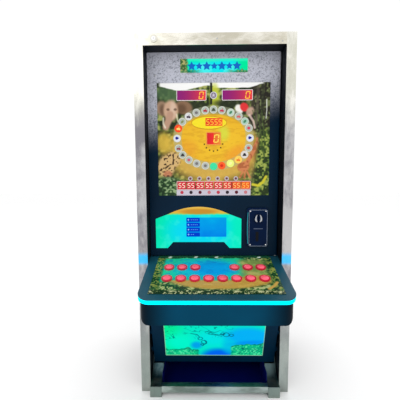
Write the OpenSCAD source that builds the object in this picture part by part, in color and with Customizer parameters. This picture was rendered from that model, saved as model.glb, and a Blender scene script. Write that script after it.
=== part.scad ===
// Coin-operated lamp-ring game machine: a sheet-steel cabinet with a stainless
// front frame, a hinged game door, a lit control deck and a lit lower panel.
// Millimetres, +Z up, +X to the player's right, +Y away from the player.
// Origin: middle of the floor under the whole machine.

/* [Cabinet] */
// Overall width over the stainless posts
cab_w = 500; // [470:5:620]
// Overall height
cab_h = 1171; // [1150:1:1400]
// Depth from the front of the posts to the back
cab_d = 360; // [350:5:480]
// Thickness of the cabinet's sheet steel
sheet_t = 2; // [1.5:0.5:3]
// Height of the cabinet floor above the ground
floor_z = 10; // [8:1:14]

/* [Stainless frame] */
// Thickness of the stainless trim
trim_t = 1.2; // [0.8:0.1:2]
// Width of a front post
post_w = 30.5; // [28:0.5:40]
// Height of the top bar
bar_h = 35; // [32:1:50]
// How far the trim wraps round the sides and the roof
trim_wrap = 30; // [20:1:50]

/* [Game door] */
// How far the door sits behind the front of the posts
recess = 51.5; // [45:0.5:60]
// Depth of the folded door tray
door_depth = 25; // [22:1:30]
// Gap round the door
door_gap = 1.5; // [1:0.5:3]
// Outer radius of a door's pivot tube
pivot_r = 7; // [6:0.5:8]
// Radius of a pivot pin
pin_r = 3; // [2.5:0.5:4]
// Radial clearance of a pin or a plug in its hole
run_clear = 0.1; // [0.05:0.05:0.2]

/* [Door windows] */
// Width of the marquee window
marquee_w = 219; // [180:1:240]
// Height of the marquee window
marquee_h = 44; // [36:1:46]
// Gap between the top of the door and the marquee window
marquee_drop = 20; // [16:1:26]
// Width of the game window
glass_w = 371; // [300:1:372]
// Height of the game window
glass_h = 369; // [300:1:372]
// Gap between the top of the door and the game window
glass_drop = 95; // [92:1:110]
// Thickness of the game glass
glass_t = 5; // [4:1:6]
// Thickness of the acrylic lenses
lens_t = 3; // [2:0.5:4]
// Width of the arched window
arch_w = 293; // [260:1:300]
// Middle of the arched window, to the left of the machine's middle
arch_left = 53; // [45:1:56]
// Height of the arched window's sides
arch_side_h = 102; // [90:1:110]
// Rise of the arched window above its sides
arch_rise = 41.5; // [30:0.5:45]
// Height of the step in the arched window's lower edge
arch_step = 21; // [15:1:25]
// Gap between the bottom of the door and the arched window
arch_lift = 25; // [22:1:30]

/* [Coin unit] */
// Width of the coin unit's face plate
coin_w = 64.5; // [60:0.5:70]
// Height of the coin unit's face plate
coin_h = 127; // [120:1:130]
// Distance of the face plate's middle from the machine's middle
coin_x = 148.6; // [145:0.1:156]
// Thickness of the bezel behind the face plate
coin_bezel_t = 6; // [4:1:7]
// Thickness of the face plate
coin_plate_t = 3; // [2:0.5:3]
// Width of the coin slot
coin_slot = 3.2; // [2.5:0.1:4]

/* [Control deck] */
// Height of the deck's top where it meets the door
deck_z = 461.5; // [440:0.5:500]
// Width of the deck plate
deck_w = 436; // [400:1:436]
// How far the deck reaches out of the door, measured along the floor
deck_reach = 236; // [210:1:260]
// Slope of the deck, in degrees
deck_slope = 11.5; // [8:0.5:15]
// Radius of the deck's front corners
deck_r = 34; // [30:1:50]
// Thickness of the deck plate
deck_t = 4; // [3:0.5:5]
// Thickness of the printed overlay
overlay_t = 1.5; // [1:0.5:2]
// Width of the printed overlay
overlay_w = 378; // [360:1:384]
// Length of the printed overlay, measured along the slope
overlay_l = 216; // [200:1:220]
// Height of the light strip
strip_h = 12; // [8:1:14]
// Thickness of the light strip
strip_t = 4; // [3:0.5:4.5]
// Width of the deck box
box_w = 424; // [390:1:426]
// Height of the underside of the deck box above the ground
box_z = 336.5; // [330:0.5:360]
// Radius of the deck box's lower front corners
box_r = 22; // [15:1:28]

/* [Push buttons] */
// Distance between the buttons in a row
pitch = 41.5; // [38:0.5:42]
// Distance of the front row from the door, along the slope
row_front = 144.5; // [130:0.5:160]
// Distance of the rear row from the door, along the slope
row_rear = 81; // [60:0.5:90]
// Radius of a button's bezel
bezel_r = 16.5; // [15:0.5:18]
// Height of a button's bezel
bezel_t = 4; // [3:0.5:6]
// Radius of a button's threaded body
body_r = 14; // [13.8:0.1:14.4]
// Radius of a button's plunger
plunger_r = 12.2; // [11.5:0.1:12.4]
// Travel of a button
stroke = 3; // [2:0.5:3.5]

/* [Lower front] */
// Height of the raked panel's lower edge above the ground
rake_z = 72.5; // [70:0.5:80]
// How far the raked panel's lower edge sits behind the posts
rake_in = 52; // [45:1:60]
// Rake of the lower panel, in degrees
rake_a = 17.9; // [10:0.1:18]
// Width of the raked panel
rake_w = 426; // [410:1:426]
// Width of the lower window
low_win_w = 344; // [300:1:350]
// Height of the lower window, along the panel
low_win_h = 172; // [150:1:176]
// Distance of the lower window above the panel's lower edge
low_win_z = 30; // [26:1:36]
// Depth of the toe bay, from the front of the posts
bay_d = 150; // [140:1:155]
// Half the width of the toe bay, inside
bay_x = 176; // [170:1:180]
// How far the foot rest stands out in front of the posts
foot_out = 27; // [20:1:40]
// Width of a leg bracket
leg_w = 38.5; // [32:0.5:39]
// Height of the foot at its front
leg_h = 38; // [37:1:45]
// Radius of the leg bracket's hollow front edge
leg_r = 87; // [80:1:90]
// Height of a leg bracket's outer cheek
cheek_h = 112; // [105:1:115]
// Height of the foot rail tube
rail_h = 22; // [18:1:24]
// Depth of the foot rail tube
rail_d = 20; // [16:1:22]

/* [Rear] */
// Width of the rear opening
rear_w = 370; // [340:5:380]
// Height of the rear opening
rear_h = 880; // [800:10:900]
// Height of the rear opening's lower edge above the ground
rear_z = 200; // [190:5:220]
// Size of the square fan
fan_w = 80; // [60:10:80]
// Thickness of the fan
fan_t = 25; // [20:1:25]

/* [Hidden] */
$fn = 48;
eps = 0.01;
small = 0.3;                                  // gap between pieces that must not touch
side_x = cab_w/2 - trim_t;                    // outer face of a side panel
in_x = side_x - sheet_t;                      // inner face of a side panel
open_x = cab_w/2 - post_w;                    // half the front opening
roof_z = cab_h - trim_t;                      // top of the roof sheet
wall_z = roof_z - sheet_t;                    // top of the side panels
side_z = 3;                                   // bottom of the side panels
bar_z = cab_h - bar_h;                        // underside of the top bar
rear_y = cab_d - 2;                           // outer face of the rear frame
deck_front = recess - deck_reach;             // front edge of the deck
mid_y = (deck_front + cab_d)/2;               // middle of the machine's depth
// Game door
door_z0 = deck_z + 2.5;
door_z1 = bar_z - 1;
door_x = open_x - door_gap;
pivot_x = door_x - pivot_r;
pivot_y = recess + pivot_r;
door_in = recess + sheet_t;                   // back of the door's face sheet
door_back = recess + door_depth;
return_d = door_back + 18.5;                  // depth of a post's inner return wall
sill_y0 = recess + 0.5;
sill_y1 = door_back + 3.5;
sill_z = door_z0 - 2;
sill_h = 34;
pin_in = 14;                                  // length of a pin inside its tube
head_h = 3;
// Windows, each by its middle
marquee_z = door_z1 - marquee_drop - marquee_h/2;
glass_z = door_z1 - glass_drop - glass_h/2;
glass_x = -1.5;
arch_z = door_z0 + arch_lift;
overlap = 9;                                  // how far a lens laps over its window's edge
arch_flat = 0.69;                             // share of the half width under the arc
arc_share = 0.57;                             // share of the rise that the arc takes
arc_n = 24;                                   // facets of the arc
step_out = 0.727;                             // foot and top of the step's slopes
step_in = 0.6;
// Coin unit
coin_z = door_z0 + 96.2;
bezel_edge = 3.2;                             // bezel showing round the face plate
bezel_shift = 2.7;
entry_dz = 31;                                // coin entry above the plate's middle
flap_dz = -29;                                // return slot below the plate's middle
flap_w = 7.4;
flap_h = 27;
flap_t = 1.5;
flap_pin_r = 1.2;
mech_d = 55;
// Deck, in the deck's own sloping frame: s runs down the slope from the door
deck_l = deck_reach/cos(deck_slope);
strip_lean = (deck_t + strip_h)*sin(deck_slope);  // how far the strip's foot leans back
deck_back = (deck_t + strip_h)*tan(deck_slope) + small;
box_front = deck_front + strip_t/cos(deck_slope) + strip_lean + small;
box_plan_r = deck_r - strip_t;
body_l = 26;                                  // housing below the deck plate
bore_l = 12;                                  // depth of the plunger's bore
nut_r = 18;
nut_t = 7;
stem_r = 3;
hole_clear = 0.2;
plunger_clear = 0.3;
dome_rise = 4.5;
switch_w = 16;
switch_l = 26;
switch_h = 16;
speaker_at = [0, -100];                       // middle of the speaker, x and y
// Locks
lock_head_r = 11.3;
lock_r = 9;
plug_r = 6;
top_lock_x = -(open_x - 34);
top_lock_z = bar_z + 19.5;
cam_t = 3;
cam_w = 16;
top_cam_l = 47;
top_cam_y = door_back - sheet_t - 2.5 - cam_t;  // in front of the door's strike
plug_l = 32.4;                                // length of the top lock's plug
rear_cam_y = 24.5;
strike_w = 40;
strike_h = 22;
rear_lock_x = -(rear_w/2 - 20);
rear_lock_z = rear_z + rear_h/2;
rear_cam_l = 29;
// Lower front
rake_l = (box_z - small - rake_z)/cos(rake_a) - sheet_t*tan(rake_a);
light_d = 25;
lug_z = [60, 140];
leg_x1 = bay_x + sheet_t + leg_w;             // outer face of a leg bracket
leg_back = 100;
web_in = 6;                                   // how far the web sits inside the cheeks
web_top = rake_z - 2.5;
rail_z = 14;
// Rear door
rdoor_x = rear_w/2 - door_gap;
rdoor_z0 = rear_z + door_gap;
rdoor_z1 = rear_z + rear_h - door_gap;
rdoor_y = rear_y - 0.5;                       // outer face of the rear door
rdoor_d = 20;
rpivot_x = rdoor_x - pivot_r;
rpivot_y = rdoor_y - pivot_r;
rflange_d = 20;
fan_z = rear_z + rear_h - 180;
fan_y = rdoor_y - sheet_t - fan_t;            // inner face of the fan
fan_hub_r = 15;
// Inside
cash = [60, 165, 150, 160, 130];              // x, y, width, depth, height
inlet = [130, 100];                           // middle of the mains inlet, x and z
inlet_w = 48;
inlet_h = 28;
chute_w = 50;
chute_d = 46;                                 // depth of the chute, seen from above
chute_top = sill_z - 10;
board_y = 150;

cols = 8;                                     // buttons in the front row
// Columns of the rear row: the two middle places stay empty
REAR_COLS = [for (i = [0:cols - 1]) if (abs(i - (cols - 1)/2) > 0.6) i];
BUTTONS = concat([for (i = REAR_COLS) [i, row_rear]], [for (i = [0:cols - 1]) [i, row_front]]);
function col_x(i) = (i - (cols - 1)/2)*pitch;

// ---------- helpers ----------

// Moves a piece from the post-front frame to the machine's own origin
module placed() { translate([0, -mid_y, 0]) children(); }

// A box between two corners
module span(a, b) { translate(a) cube(b - a); }

// An outline in Y and Z, given thickness along X
module yz(x, w) { translate([x, 0, 0]) rotate([90, 0, 90]) linear_extrude(w) children(); }

// An outline in X and Z, given thickness along Y
module xz(y, d) { translate([0, y + d, 0]) rotate([90, 0, 0]) linear_extrude(d) children(); }

// A cylinder along Y
module rod_y(x, y, z, r, l) { translate([x, y + l, z]) rotate([90, 0, 0]) cylinder(r = r, h = l); }

// The slot that the top lock's lever swings through
module lever_slot() {
    span([top_lock_x - cam_w/2 - 1.5, top_cam_y - 1, door_z1 - sheet_t - 1],
         [top_lock_x + top_cam_l + 2, top_cam_y + cam_t + 1, bar_z + sheet_t + 1]);
}

// A rectangle with round corners, centred
module round_rect(w, h, r) {
    square([w - 2*r, h], center = true);
    square([w, h - 2*r], center = true);
    for (x = [-1, 1], y = [-1, 1]) translate([x*(w/2 - r), y*(h/2 - r)]) circle(r);
}

module both_sides() { children(); mirror([1, 0, 0]) children(); }

// The deck's sloping frame: x across, y = -s down the slope, z out of the surface
module on_deck() { translate([0, recess, deck_z]) rotate([deck_slope, 0, 0]) children(); }

// The raked panel's frame: z up the panel, y into the cabinet
module on_rake() { translate([0, rake_in, rake_z]) rotate([rake_a, 0, 0]) children(); }

module at_button(k) {
    on_deck() translate([col_x(BUTTONS[k][0]), -BUTTONS[k][1], overlay_t]) children();
}

// ---------- stainless frame ----------

module post() {
    span([open_x, 0, 0], [cab_w/2, trim_t, cab_h]);
    span([side_x, 0, 0], [cab_w/2, trim_wrap, cab_h]);
    span([open_x, 0, roof_z], [cab_w/2, trim_wrap, cab_h]);
}

module left_post() { color("silver") placed() mirror([1, 0, 0]) post(); }

module right_post() { color("silver") placed() post(); }

module top_bar() {
    color("silver") placed() difference() {
        union() {
            span([-open_x, 0, bar_z], [open_x, trim_t, cab_h]);
            span([-open_x, 0, roof_z], [open_x, trim_wrap, cab_h]);
        }
        rod_y(top_lock_x, -1, top_lock_z, lock_r + hole_clear, trim_t + 2);
    }
}

// ---------- cabinet sheet metal ----------

// One side: outer wall, front flange behind the post and inner return wall
module side_panel() {
    translate([0, 0, side_z]) linear_extrude(wall_z - side_z) {
        translate([in_x, trim_t]) square([sheet_t, rear_y - trim_t]);
        translate([open_x, trim_t]) square([side_x - open_x, sheet_t]);
        translate([open_x, trim_t]) square([sheet_t, return_d - trim_t]);
    }
}

module left_side_panel() { color("dimgray") placed() mirror([1, 0, 0]) side_panel(); }

module right_side_panel() { color("dimgray") placed() side_panel(); }

module roof_panel() {
    color("dimgray") placed() span([-side_x, trim_t, wall_z], [side_x, rear_y, roof_z]);
}

module header_panel() {
    back = door_back - 0.5;
    color("black") placed() difference() {
        union() {
            span([-open_x, trim_t, bar_z], [open_x, trim_t + sheet_t, wall_z]);
            span([-open_x, trim_t, bar_z], [open_x, back, bar_z + sheet_t]);
            span([-open_x, back - sheet_t, bar_z], [open_x, back, bar_z + 14]);
        }
        rod_y(top_lock_x, 0, top_lock_z, lock_r + hole_clear, 10);
        translate([pivot_x, pivot_y, bar_z - 1]) cylinder(r = pin_r + run_clear, h = sheet_t + 2);
        lever_slot();
    }
}

module door_sill() {
    color("black") placed() difference() {
        union() {
            span([-open_x, sill_y0, sill_z - sheet_t], [open_x, sill_y1, sill_z]);
            for (y = [sill_y0, sill_y1 - sheet_t])
                span([-open_x, y, sill_z - sill_h], [open_x, y + sheet_t, sill_z]);
        }
        translate([pivot_x, pivot_y, sill_z - 5]) cylinder(r = pin_r + run_clear, h = 10);
    }
}

module floor_panel() {
    x1 = bay_x + sheet_t;
    color("dimgray") placed() {
        span([-x1, trim_t, floor_z], [x1, leg_back + 10, floor_z + sheet_t]);
        span([-in_x, leg_back + small, floor_z], [in_x, rear_y - sheet_t, floor_z + sheet_t]);
    }
}

module rear_frame() {
    y0 = rear_y - sheet_t;
    x1 = rear_w/2;
    z1 = rear_z + rear_h;
    color("dimgray") placed() difference() {
        union() {
            span([-in_x, y0, floor_z], [in_x, rear_y, wall_z]);
            span([-x1 - sheet_t, y0 - rflange_d, rear_z - sheet_t], [x1 + sheet_t, rear_y, z1 + sheet_t]);
        }
        span([-x1, y0 - rflange_d - 1, rear_z], [x1, rear_y + 1, z1]);
        for (z = [rear_z - 5, z1 - 5])
            translate([rpivot_x, rpivot_y, z]) cylinder(r = pin_r + run_clear, h = 10);
        // hole for the mains inlet
        translate([inlet[0], 0, inlet[1]])
            span([-inlet_w/2, y0 - 1, -inlet_h/2], [inlet_w/2, rear_y + 1, inlet_h/2]);
    }
}

// ---------- lower front ----------

module raked_panel() {
    x = rake_w/2;
    color("midnightblue") placed() on_rake() {
        difference() {
            union() {
                span([-x, 0, 0], [x, sheet_t, rake_l]);
                both_sides() span([x - sheet_t, 0, 0], [x, 14, rake_l]);
            }
            span([-low_win_w/2, -1, low_win_z], [low_win_w/2, sheet_t + 1, low_win_z + low_win_h]);
        }
        // spacers that bolt the panel to the return walls
        both_sides() for (z = lug_z) span([x - eps, 3, z - 8], [open_x, 13, z + 8]);
    }
}

module lower_window() {
    x = low_win_w/2 + overlap;
    color("turquoise") placed() on_rake()
        span([-x, sheet_t, low_win_z - overlap], [x, sheet_t + lens_t, low_win_z + low_win_h + overlap]);
}

module lower_light_box() {
    x = low_win_w/2 + overlap + 3;
    y = sheet_t + lens_t;
    z0 = low_win_z - overlap - 3;
    z1 = low_win_z + low_win_h + overlap + 3;
    color("white") placed() on_rake() difference() {
        span([-x, y, z0], [x, y + light_d, z1]);
        span([-x + 2, y - 1, z0 + 2], [x - 2, y + light_d - 2, z1 - 2]);
    }
}

module toe_bay() {
    z0 = floor_z + sheet_t;
    z1 = rake_z + 0.5;
    x = bay_x + sheet_t;
    ceiling_y = rake_in + 5;
    color("midnightblue") placed() difference() {
        span([-x, trim_t, z0], [x, bay_d, z1 + sheet_t]);
        span([-bay_x, 0, z0 + sheet_t], [bay_x, bay_d - sheet_t, z1]);
        span([-x - 1, 0, rake_z - 4], [x + 1, ceiling_y, z1 + 5]);
    }
}

// Side outline of a leg bracket, cut off at height top
module leg_outline(top, r) {
    difference() {
        translate([-foot_out, 0]) square([leg_back + foot_out, top]);
        translate([-foot_out, leg_h + leg_r]) circle(r, $fn = 96);
    }
}

module leg_bracket() {
    x0 = bay_x + sheet_t;
    yz(leg_x1 - sheet_t, sheet_t) leg_outline(cheek_h, leg_r);
    yz(x0, sheet_t) leg_outline(web_top, leg_r);
    yz(x0, leg_w) intersection() {
        leg_outline(web_top, leg_r + web_in);
        translate([-foot_out, leg_h + leg_r]) circle(leg_r + web_in + sheet_t, $fn = 96);
    }
    span([x0, -foot_out, 0], [leg_x1, -foot_out + sheet_t, leg_h]);
}

module leg_brackets() { color("silver") placed() both_sides() leg_bracket(); }

module foot_rail() {
    x = bay_x + sheet_t;
    y = -foot_out + 4;
    color("silver") placed() difference() {
        span([-x, y, rail_z], [x, y + rail_d, rail_z + rail_h]);
        span([-x - 1, y + 1.5, rail_z + 1.5], [x + 1, y + rail_d - 1.5, rail_z + rail_h - 1.5]);
    }
}

module rear_feet() {
    color("black") placed() for (x = [-1, 1]) translate([x*(in_x - 36), rear_y - 30, 0]) {
        cylinder(r = 16, h = floor_z - 4);
        cylinder(r = 11, h = floor_z);
    }
}

// ---------- control deck ----------

// The deck's outline, drawn inset, in the deck's own frame
module deck_outline(inset) {
    x = deck_w/2 - inset;
    y = deck_l - inset;
    r = deck_r - inset;
    translate([-x, -y + r]) square([2*x, y - r - deck_back]);
    translate([-x + r, -y]) square([2*x - 2*r, r + eps]);
    for (s = [-1, 1]) translate([s*(x - r), -y + r]) circle(r);
}

module deck_plate() {
    color("darkslategray") placed() on_deck() difference() {
        translate([0, 0, -deck_t]) linear_extrude(deck_t) deck_outline(0);
        for (b = BUTTONS) translate([col_x(b[0]), -b[1], -deck_t - 1])
            cylinder(r = body_r + hole_clear, h = deck_t + 2);
    }
}

module deck_overlay() {
    color("goldenrod") placed() on_deck() difference() {
        span([-overlay_w/2, -overlay_l - 2, 0], [overlay_w/2, -2, overlay_t]);
        for (b = BUTTONS) translate([col_x(b[0]), -b[1], -1])
            cylinder(r = body_r + hole_clear, h = overlay_t + 2);
    }
}

module deck_led_strip() {
    color("cyan") placed() on_deck() translate([0, 0, -deck_t - strip_h]) linear_extrude(strip_h)
        difference() {
            deck_outline(0);
            deck_outline(strip_t);
            translate([0, -deck_back]) square([deck_w - 2*strip_t, 2], center = true);
        }
}

// The deck box's outer form, inset by i; back is where it ends at the rear
module box_form(i, back) {
    x = box_w/2 - i;
    pr = box_plan_r - i;
    fr = box_r - i;
    y = box_front + i;
    intersection() {
        translate([0, 0, box_z - 1]) linear_extrude(200) {
            translate([-x, y + pr]) square([2*x, back - y - pr]);
            translate([-x + pr, y]) square([2*x - 2*pr, pr + eps]);
            for (s = [-1, 1]) translate([s*(x - pr), y + pr]) circle(pr);
        }
        xz(box_front - 1, 400) {
            translate([-x, box_z + i + fr]) square([2*x, 200]);
            translate([-x + fr, box_z + i]) square([2*x - 2*fr, fr + eps]);
            for (s = [-1, 1]) translate([s*(x - fr), box_z + i + fr]) circle(fr);
        }
    }
}

module deck_box() {
    back = sill_y0 - small;
    ear = [20, 48];
    color("midnightblue") placed() {
        difference() {
            box_form(0, back);
            box_form(sheet_t, back + 5);
            on_deck() span([-300, -400, -deck_t], [300, 100, 200]);
            // the way from the box into the cabinet
            span([-box_w/2 + box_r, -20, box_z - 1], [box_w/2 - box_r, back + 1, box_z + sheet_t + 1]);
            // speaker holes
            for (ring = [0, 1, 2], k = [0:max(0, 6*ring - 1)])
                rotate_about(speaker_at, k*60/max(ring, 1))
                    translate([ring*13, 0, box_z - 1]) cylinder(r = 2.5, h = sheet_t + 2);
        }
        both_sides() {
            span([box_w/2 - sheet_t, ear[0], box_z + 20], [open_x, ear[0] + sheet_t, box_z + 70]);
            span([open_x - sheet_t, ear[0], box_z + 20], [open_x, ear[1], box_z + 70]);
        }
    }
}

module rotate_about(c, a) { translate([c[0], c[1], 0]) rotate([0, 0, a]) children(); }

module speaker() {
    z = box_z + sheet_t;
    color("black") placed() translate([speaker_at[0], speaker_at[1], z]) difference() {
        union() {
            cylinder(r = 45, h = 3);
            translate([0, 0, 3 - eps]) cylinder(r1 = 38, r2 = 20, h = 17);
            translate([0, 0, 20 - eps]) cylinder(r = 22, h = 10);
        }
        translate([0, 0, -eps]) cylinder(r1 = 36, r2 = 14, h = 16);
    }
}

module button_housings() {
    z0 = -overlay_t - deck_t - body_l;
    bore = plunger_r + plunger_clear;
    color("crimson") placed() for (k = [0:len(BUTTONS) - 1]) at_button(k) difference() {
        union() {
            cylinder(r = bezel_r, h = bezel_t);
            translate([0, 0, z0]) cylinder(r = body_r, h = -z0 + eps);
            translate([0, 0, -overlay_t - deck_t - nut_t]) cylinder(r = nut_r, h = nut_t);
        }
        translate([0, 0, -bore_l]) cylinder(r = bore, h = 40);
        translate([0, 0, z0 - 1]) cylinder(r = stem_r + plunger_clear, h = 60);
    }
}

module button_switches() {
    z1 = -overlay_t - deck_t - body_l;
    gap = stroke + 1.5;
    color("black") placed() for (k = [0:len(BUTTONS) - 1]) at_button(k) difference() {
        span([-switch_w/2, -switch_l/2, z1 - gap - switch_h], [switch_w/2, switch_l/2, z1]);
        span([-switch_w/2 + 2, -switch_l, z1 - gap], [switch_w/2 - 2, switch_l, z1 + 1]);
    }
}

// One plunger: a domed cap on a stem that reaches down to its switch
module plunger(k) {
    rim = bezel_t + 1;
    foot = -bore_l + stroke + small + 0.5;
    dome = (plunger_r*plunger_r + dome_rise*dome_rise)/(2*dome_rise);
    color("red") placed() at_button(k) {
        translate([0, 0, foot]) cylinder(r = plunger_r, h = rim - foot);
        intersection() {
            translate([0, 0, rim + dome_rise - dome]) sphere(dome);
            translate([0, 0, rim - eps]) cylinder(r = plunger_r, h = dome_rise + 1);
        }
        translate([0, 0, -overlay_t - deck_t - body_l - 1]) cylinder(r = stem_r, h = body_l + 1);
    }
}

// ---------- game door ----------

// Outline of the arched window, with its middle at x = 0 and its foot at z = 0:
// straight sides and shoulders, an arc over the middle and a step in the foot
module arch_outline() {
    w = arch_w/2;
    flat = w*arch_flat;
    arc_rise = arch_rise*arc_share;
    r = (flat*flat + arc_rise*arc_rise)/(2*arc_rise);
    top = arch_side_h + arch_rise;
    half = asin(flat/r);
    arc = [for (i = [0:arc_n]) let (a = half*(1 - 2*i/arc_n)) [r*sin(a), top - r + r*cos(a)]];
    polygon(concat([[-w*step_out, 0], [-w, 0], [-w, arch_side_h]],
        [for (i = [0:arc_n]) arc[arc_n - i]],
        [[w, arch_side_h], [w, 0], [w*step_out, 0], [w*step_in, arch_step], [-w*step_in, arch_step]]));
}

module upper_door() {
    bore_h = pin_in + 2;
    color("black") placed() difference() {
        union() {
            span([-door_x, recess, door_z0], [pivot_x - 1, door_in, door_z1]);
            span([-door_x, recess, door_z0], [-door_x + sheet_t, door_back, door_z1]);
            span([pivot_x - sheet_t, pivot_y, door_z0], [pivot_x, door_back, door_z1]);
            for (z = [door_z0, door_z1 - sheet_t])
                span([-door_x, recess, z], [pivot_x - 1, door_back, z + sheet_t]);
            translate([pivot_x, pivot_y, door_z0]) cylinder(r = pivot_r, h = door_z1 - door_z0);
            // strike for the lock's cam
            span([top_lock_x - strike_w/2, door_back - sheet_t, door_z1 - strike_h],
                 [top_lock_x + strike_w/2, door_back, door_z1]);
        }
        for (z = [door_z0 - 1, door_z1 - bore_h])
            translate([pivot_x, pivot_y, z]) cylinder(r = pin_r + run_clear, h = bore_h + 1);
        lever_slot();
        xz(recess - 1, sheet_t + 2) {
            translate([0, marquee_z]) square([marquee_w, marquee_h], center = true);
            translate([glass_x, glass_z]) square([glass_w, glass_h], center = true);
            translate([-arch_left, arch_z]) arch_outline();
            translate([coin_x, coin_z]) square([coin_w - 10, coin_h - 16], center = true);
        }
    }
}

module marquee_lens() {
    color("cyan") placed() xz(door_in, lens_t) translate([0, marquee_z])
        square([marquee_w + overlap, marquee_h + overlap], center = true);
}

module game_glass() {
    color("gold") placed() xz(door_in, glass_t) translate([glass_x, glass_z])
        square([glass_w + overlap, glass_h + overlap], center = true);
}

// The lamp ring's middles: an oval of places, evenly spaced round its edge
lamp_n = 24;
ring_ax = 121;
ring_az = 92;
ring_z = 6;
lamp_r = 12;
function ring_at(k) = [ring_ax*sin(k*360/lamp_n), ring_z + ring_az*cos(k*360/lamp_n)];

module game_board() {
    y1 = door_back + 4;
    y0 = door_in + glass_t + 1.5;
    w = glass_w/2 + 17;
    h = glass_h/2 + 17;
    post = 4;
    color("darkgreen") placed() translate([glass_x, 0, glass_z]) {
        difference() {
            span([-w, y1, -h], [w, y1 + 2, h]);
            for (x = [-60, 60]) span([x - 30, y1 - 1, -h + 40], [x + 30, y1 + 3, -h + 60]);
        }
        for (x = [-1, 1], z = [-1, 1]) rod_y(x*(w - post), door_in, z*(h - post), post, y1 - door_in + eps);
        for (k = [0:lamp_n - 1]) rod_y(ring_at(k)[0], y0, ring_at(k)[1], lamp_r - 3, y1 - y0 + eps);
        // credit and win displays, bonus display, count display and the row of stake displays
        for (x = [-73, 78]) span([x - 48, y0, 127], [x + 48, y1 + eps, 162]);
        span([-28, y0, 46], [28, y1 + eps, 71]);
        span([-22, y0, -13], [22, y1 + eps, 23]);
        span([-123, y0, -164], [123, y1 + eps, -137]);
    }
}

module arch_window() {
    color("aqua") placed() xz(door_in, lens_t)
        translate([-arch_left - arch_w/2 - overlap + 1, arch_z - overlap + 1])
            square([arch_w + 2*overlap - 2, arch_side_h + arch_rise + 2*overlap - 2]);
}

module lcd_module() {
    y = door_in + lens_t;
    color("blue") placed() translate([-arch_left + 27, y, arch_z + 76]) span([-76, 0, -41], [76, 10, 41]);
}

module coin_plate() {
    y0 = recess - coin_bezel_t;
    y1 = y0 - coin_plate_t;
    color("#10161f") placed() difference() {
        union() {
            xz(y0, coin_bezel_t) translate([coin_x - bezel_shift, coin_z + bezel_shift])
                round_rect(coin_w + 2*bezel_edge, coin_h + 2*bezel_edge, 9);
            xz(y1, coin_plate_t + eps) translate([coin_x, coin_z]) round_rect(coin_w, coin_h, 6);
            // round coin guide with a flat face
            rod_y(coin_x, y1 - 7, coin_z + entry_dz, 13, 7 + eps);
            rod_y(coin_x, y1 - 7, coin_z + entry_dz + 8, 10, 7 + eps);
            // spigot that locates the unit in the door
            span([coin_x - coin_w/2 + 6, recess - eps, coin_z - coin_h/2 + 9],
                 [coin_x + coin_w/2 - 6, door_in, coin_z + coin_h/2 - 9]);
        }
        // coin slot
        span([coin_x - coin_slot/2, y1 - 20, coin_z + entry_dz - 10],
             [coin_x + coin_slot/2, door_in + 1, coin_z + entry_dz + 16]);
        // return slot with the flap's pin holes
        span([coin_x - 4 - flap_w/2 - small, y1 - 1, coin_z + flap_dz - flap_h/2 - small],
             [coin_x - 4 + flap_w/2 + small, door_in + 1, coin_z + flap_dz + flap_h/2 + 3]);
        translate([coin_x - 4 - flap_w/2 - 3, y0 + 1, coin_z + flap_dz + flap_h/2]) rotate([0, 90, 0])
            cylinder(r = flap_pin_r + run_clear, h = flap_w + 6);
        // screw holes
        for (x = [-1, 1], z = [-1, 1])
            rod_y(coin_x + x*(coin_w/2 - 6), y1 - 1, coin_z + z*(coin_h/2 - 6), 2.2, 20);
    }
}

module coin_flap() {
    y = recess - coin_bezel_t + 1;
    color("#202838") placed() {
        translate([coin_x - 4 - flap_w/2 - 2.5, y, coin_z + flap_dz + flap_h/2]) rotate([0, 90, 0])
            cylinder(r = flap_pin_r, h = flap_w + 5);
        span([coin_x - 4 - flap_w/2, y - flap_t/2, coin_z + flap_dz - flap_h/2],
             [coin_x - 4 + flap_w/2, y + flap_t/2, coin_z + flap_dz + flap_h/2]);
    }
}

module coin_mech() {
    w = coin_w/2 - 2;
    h = coin_h/2 - 2;
    color("#303030") placed() translate([coin_x, door_in, coin_z]) difference() {
        span([-w, 0, -h], [w, mech_d, h]);
        // coin path from the slot to the outlet
        span([-coin_slot, -1, entry_dz - 12], [coin_slot, mech_d - 12, entry_dz + 18]);
        span([-coin_slot, mech_d - 26, -h - 1], [coin_slot, mech_d - 12, entry_dz]);
        // return cup behind the flap
        span([-14, -1, flap_dz - flap_h/2 - 4], [6, 24, flap_dz + flap_h/2 + 6]);
    }
}

// ---------- pins and locks ----------

// A headed pin that points up from z
module pin(z, l) {
    translate([0, 0, z]) {
        cylinder(r = pin_r, h = l);
        cylinder(r = pin_r + 1, h = head_h);
    }
}

// The pins of one door, with the washer that carries it
module door_pin_set(x, y, under, over, gap) {
    l = pin_in + head_h + sheet_t + gap;
    translate([x, y, 0]) {
        pin(under - sheet_t - head_h, l);
        translate([0, 0, over + sheet_t + head_h]) mirror([0, 0, 1]) pin(0, l);
        translate([0, 0, under]) difference() {
            cylinder(r = pivot_r - 0.5, h = gap - 0.2);
            translate([0, 0, -1]) cylinder(r = pin_r + run_clear, h = gap + 2);
        }
    }
}

module door_pins() {
    color("silver") placed() {
        door_pin_set(pivot_x, pivot_y, sill_z, bar_z, door_z0 - sill_z);
        door_pin_set(rpivot_x, rpivot_y, rear_z, rear_z + rear_h, door_gap);
    }
}

// The fixed part of a cam lock that points along +Y from its head
module lock_body(l, nut_y) {
    difference() {
        union() {
            rod_y(0, -2, 0, lock_head_r, 2);
            rod_y(0, -1, 0, lock_r, l + 1);
            rod_y(0, nut_y, 0, lock_r + 3, 5);
        }
        rod_y(0, -3, 0, plug_r + run_clear, l + 6);
    }
}

module top_lock_body() {
    color("silver") placed() translate([top_lock_x, 0, top_lock_z]) lock_body(28, trim_t + sheet_t);
}

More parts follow.
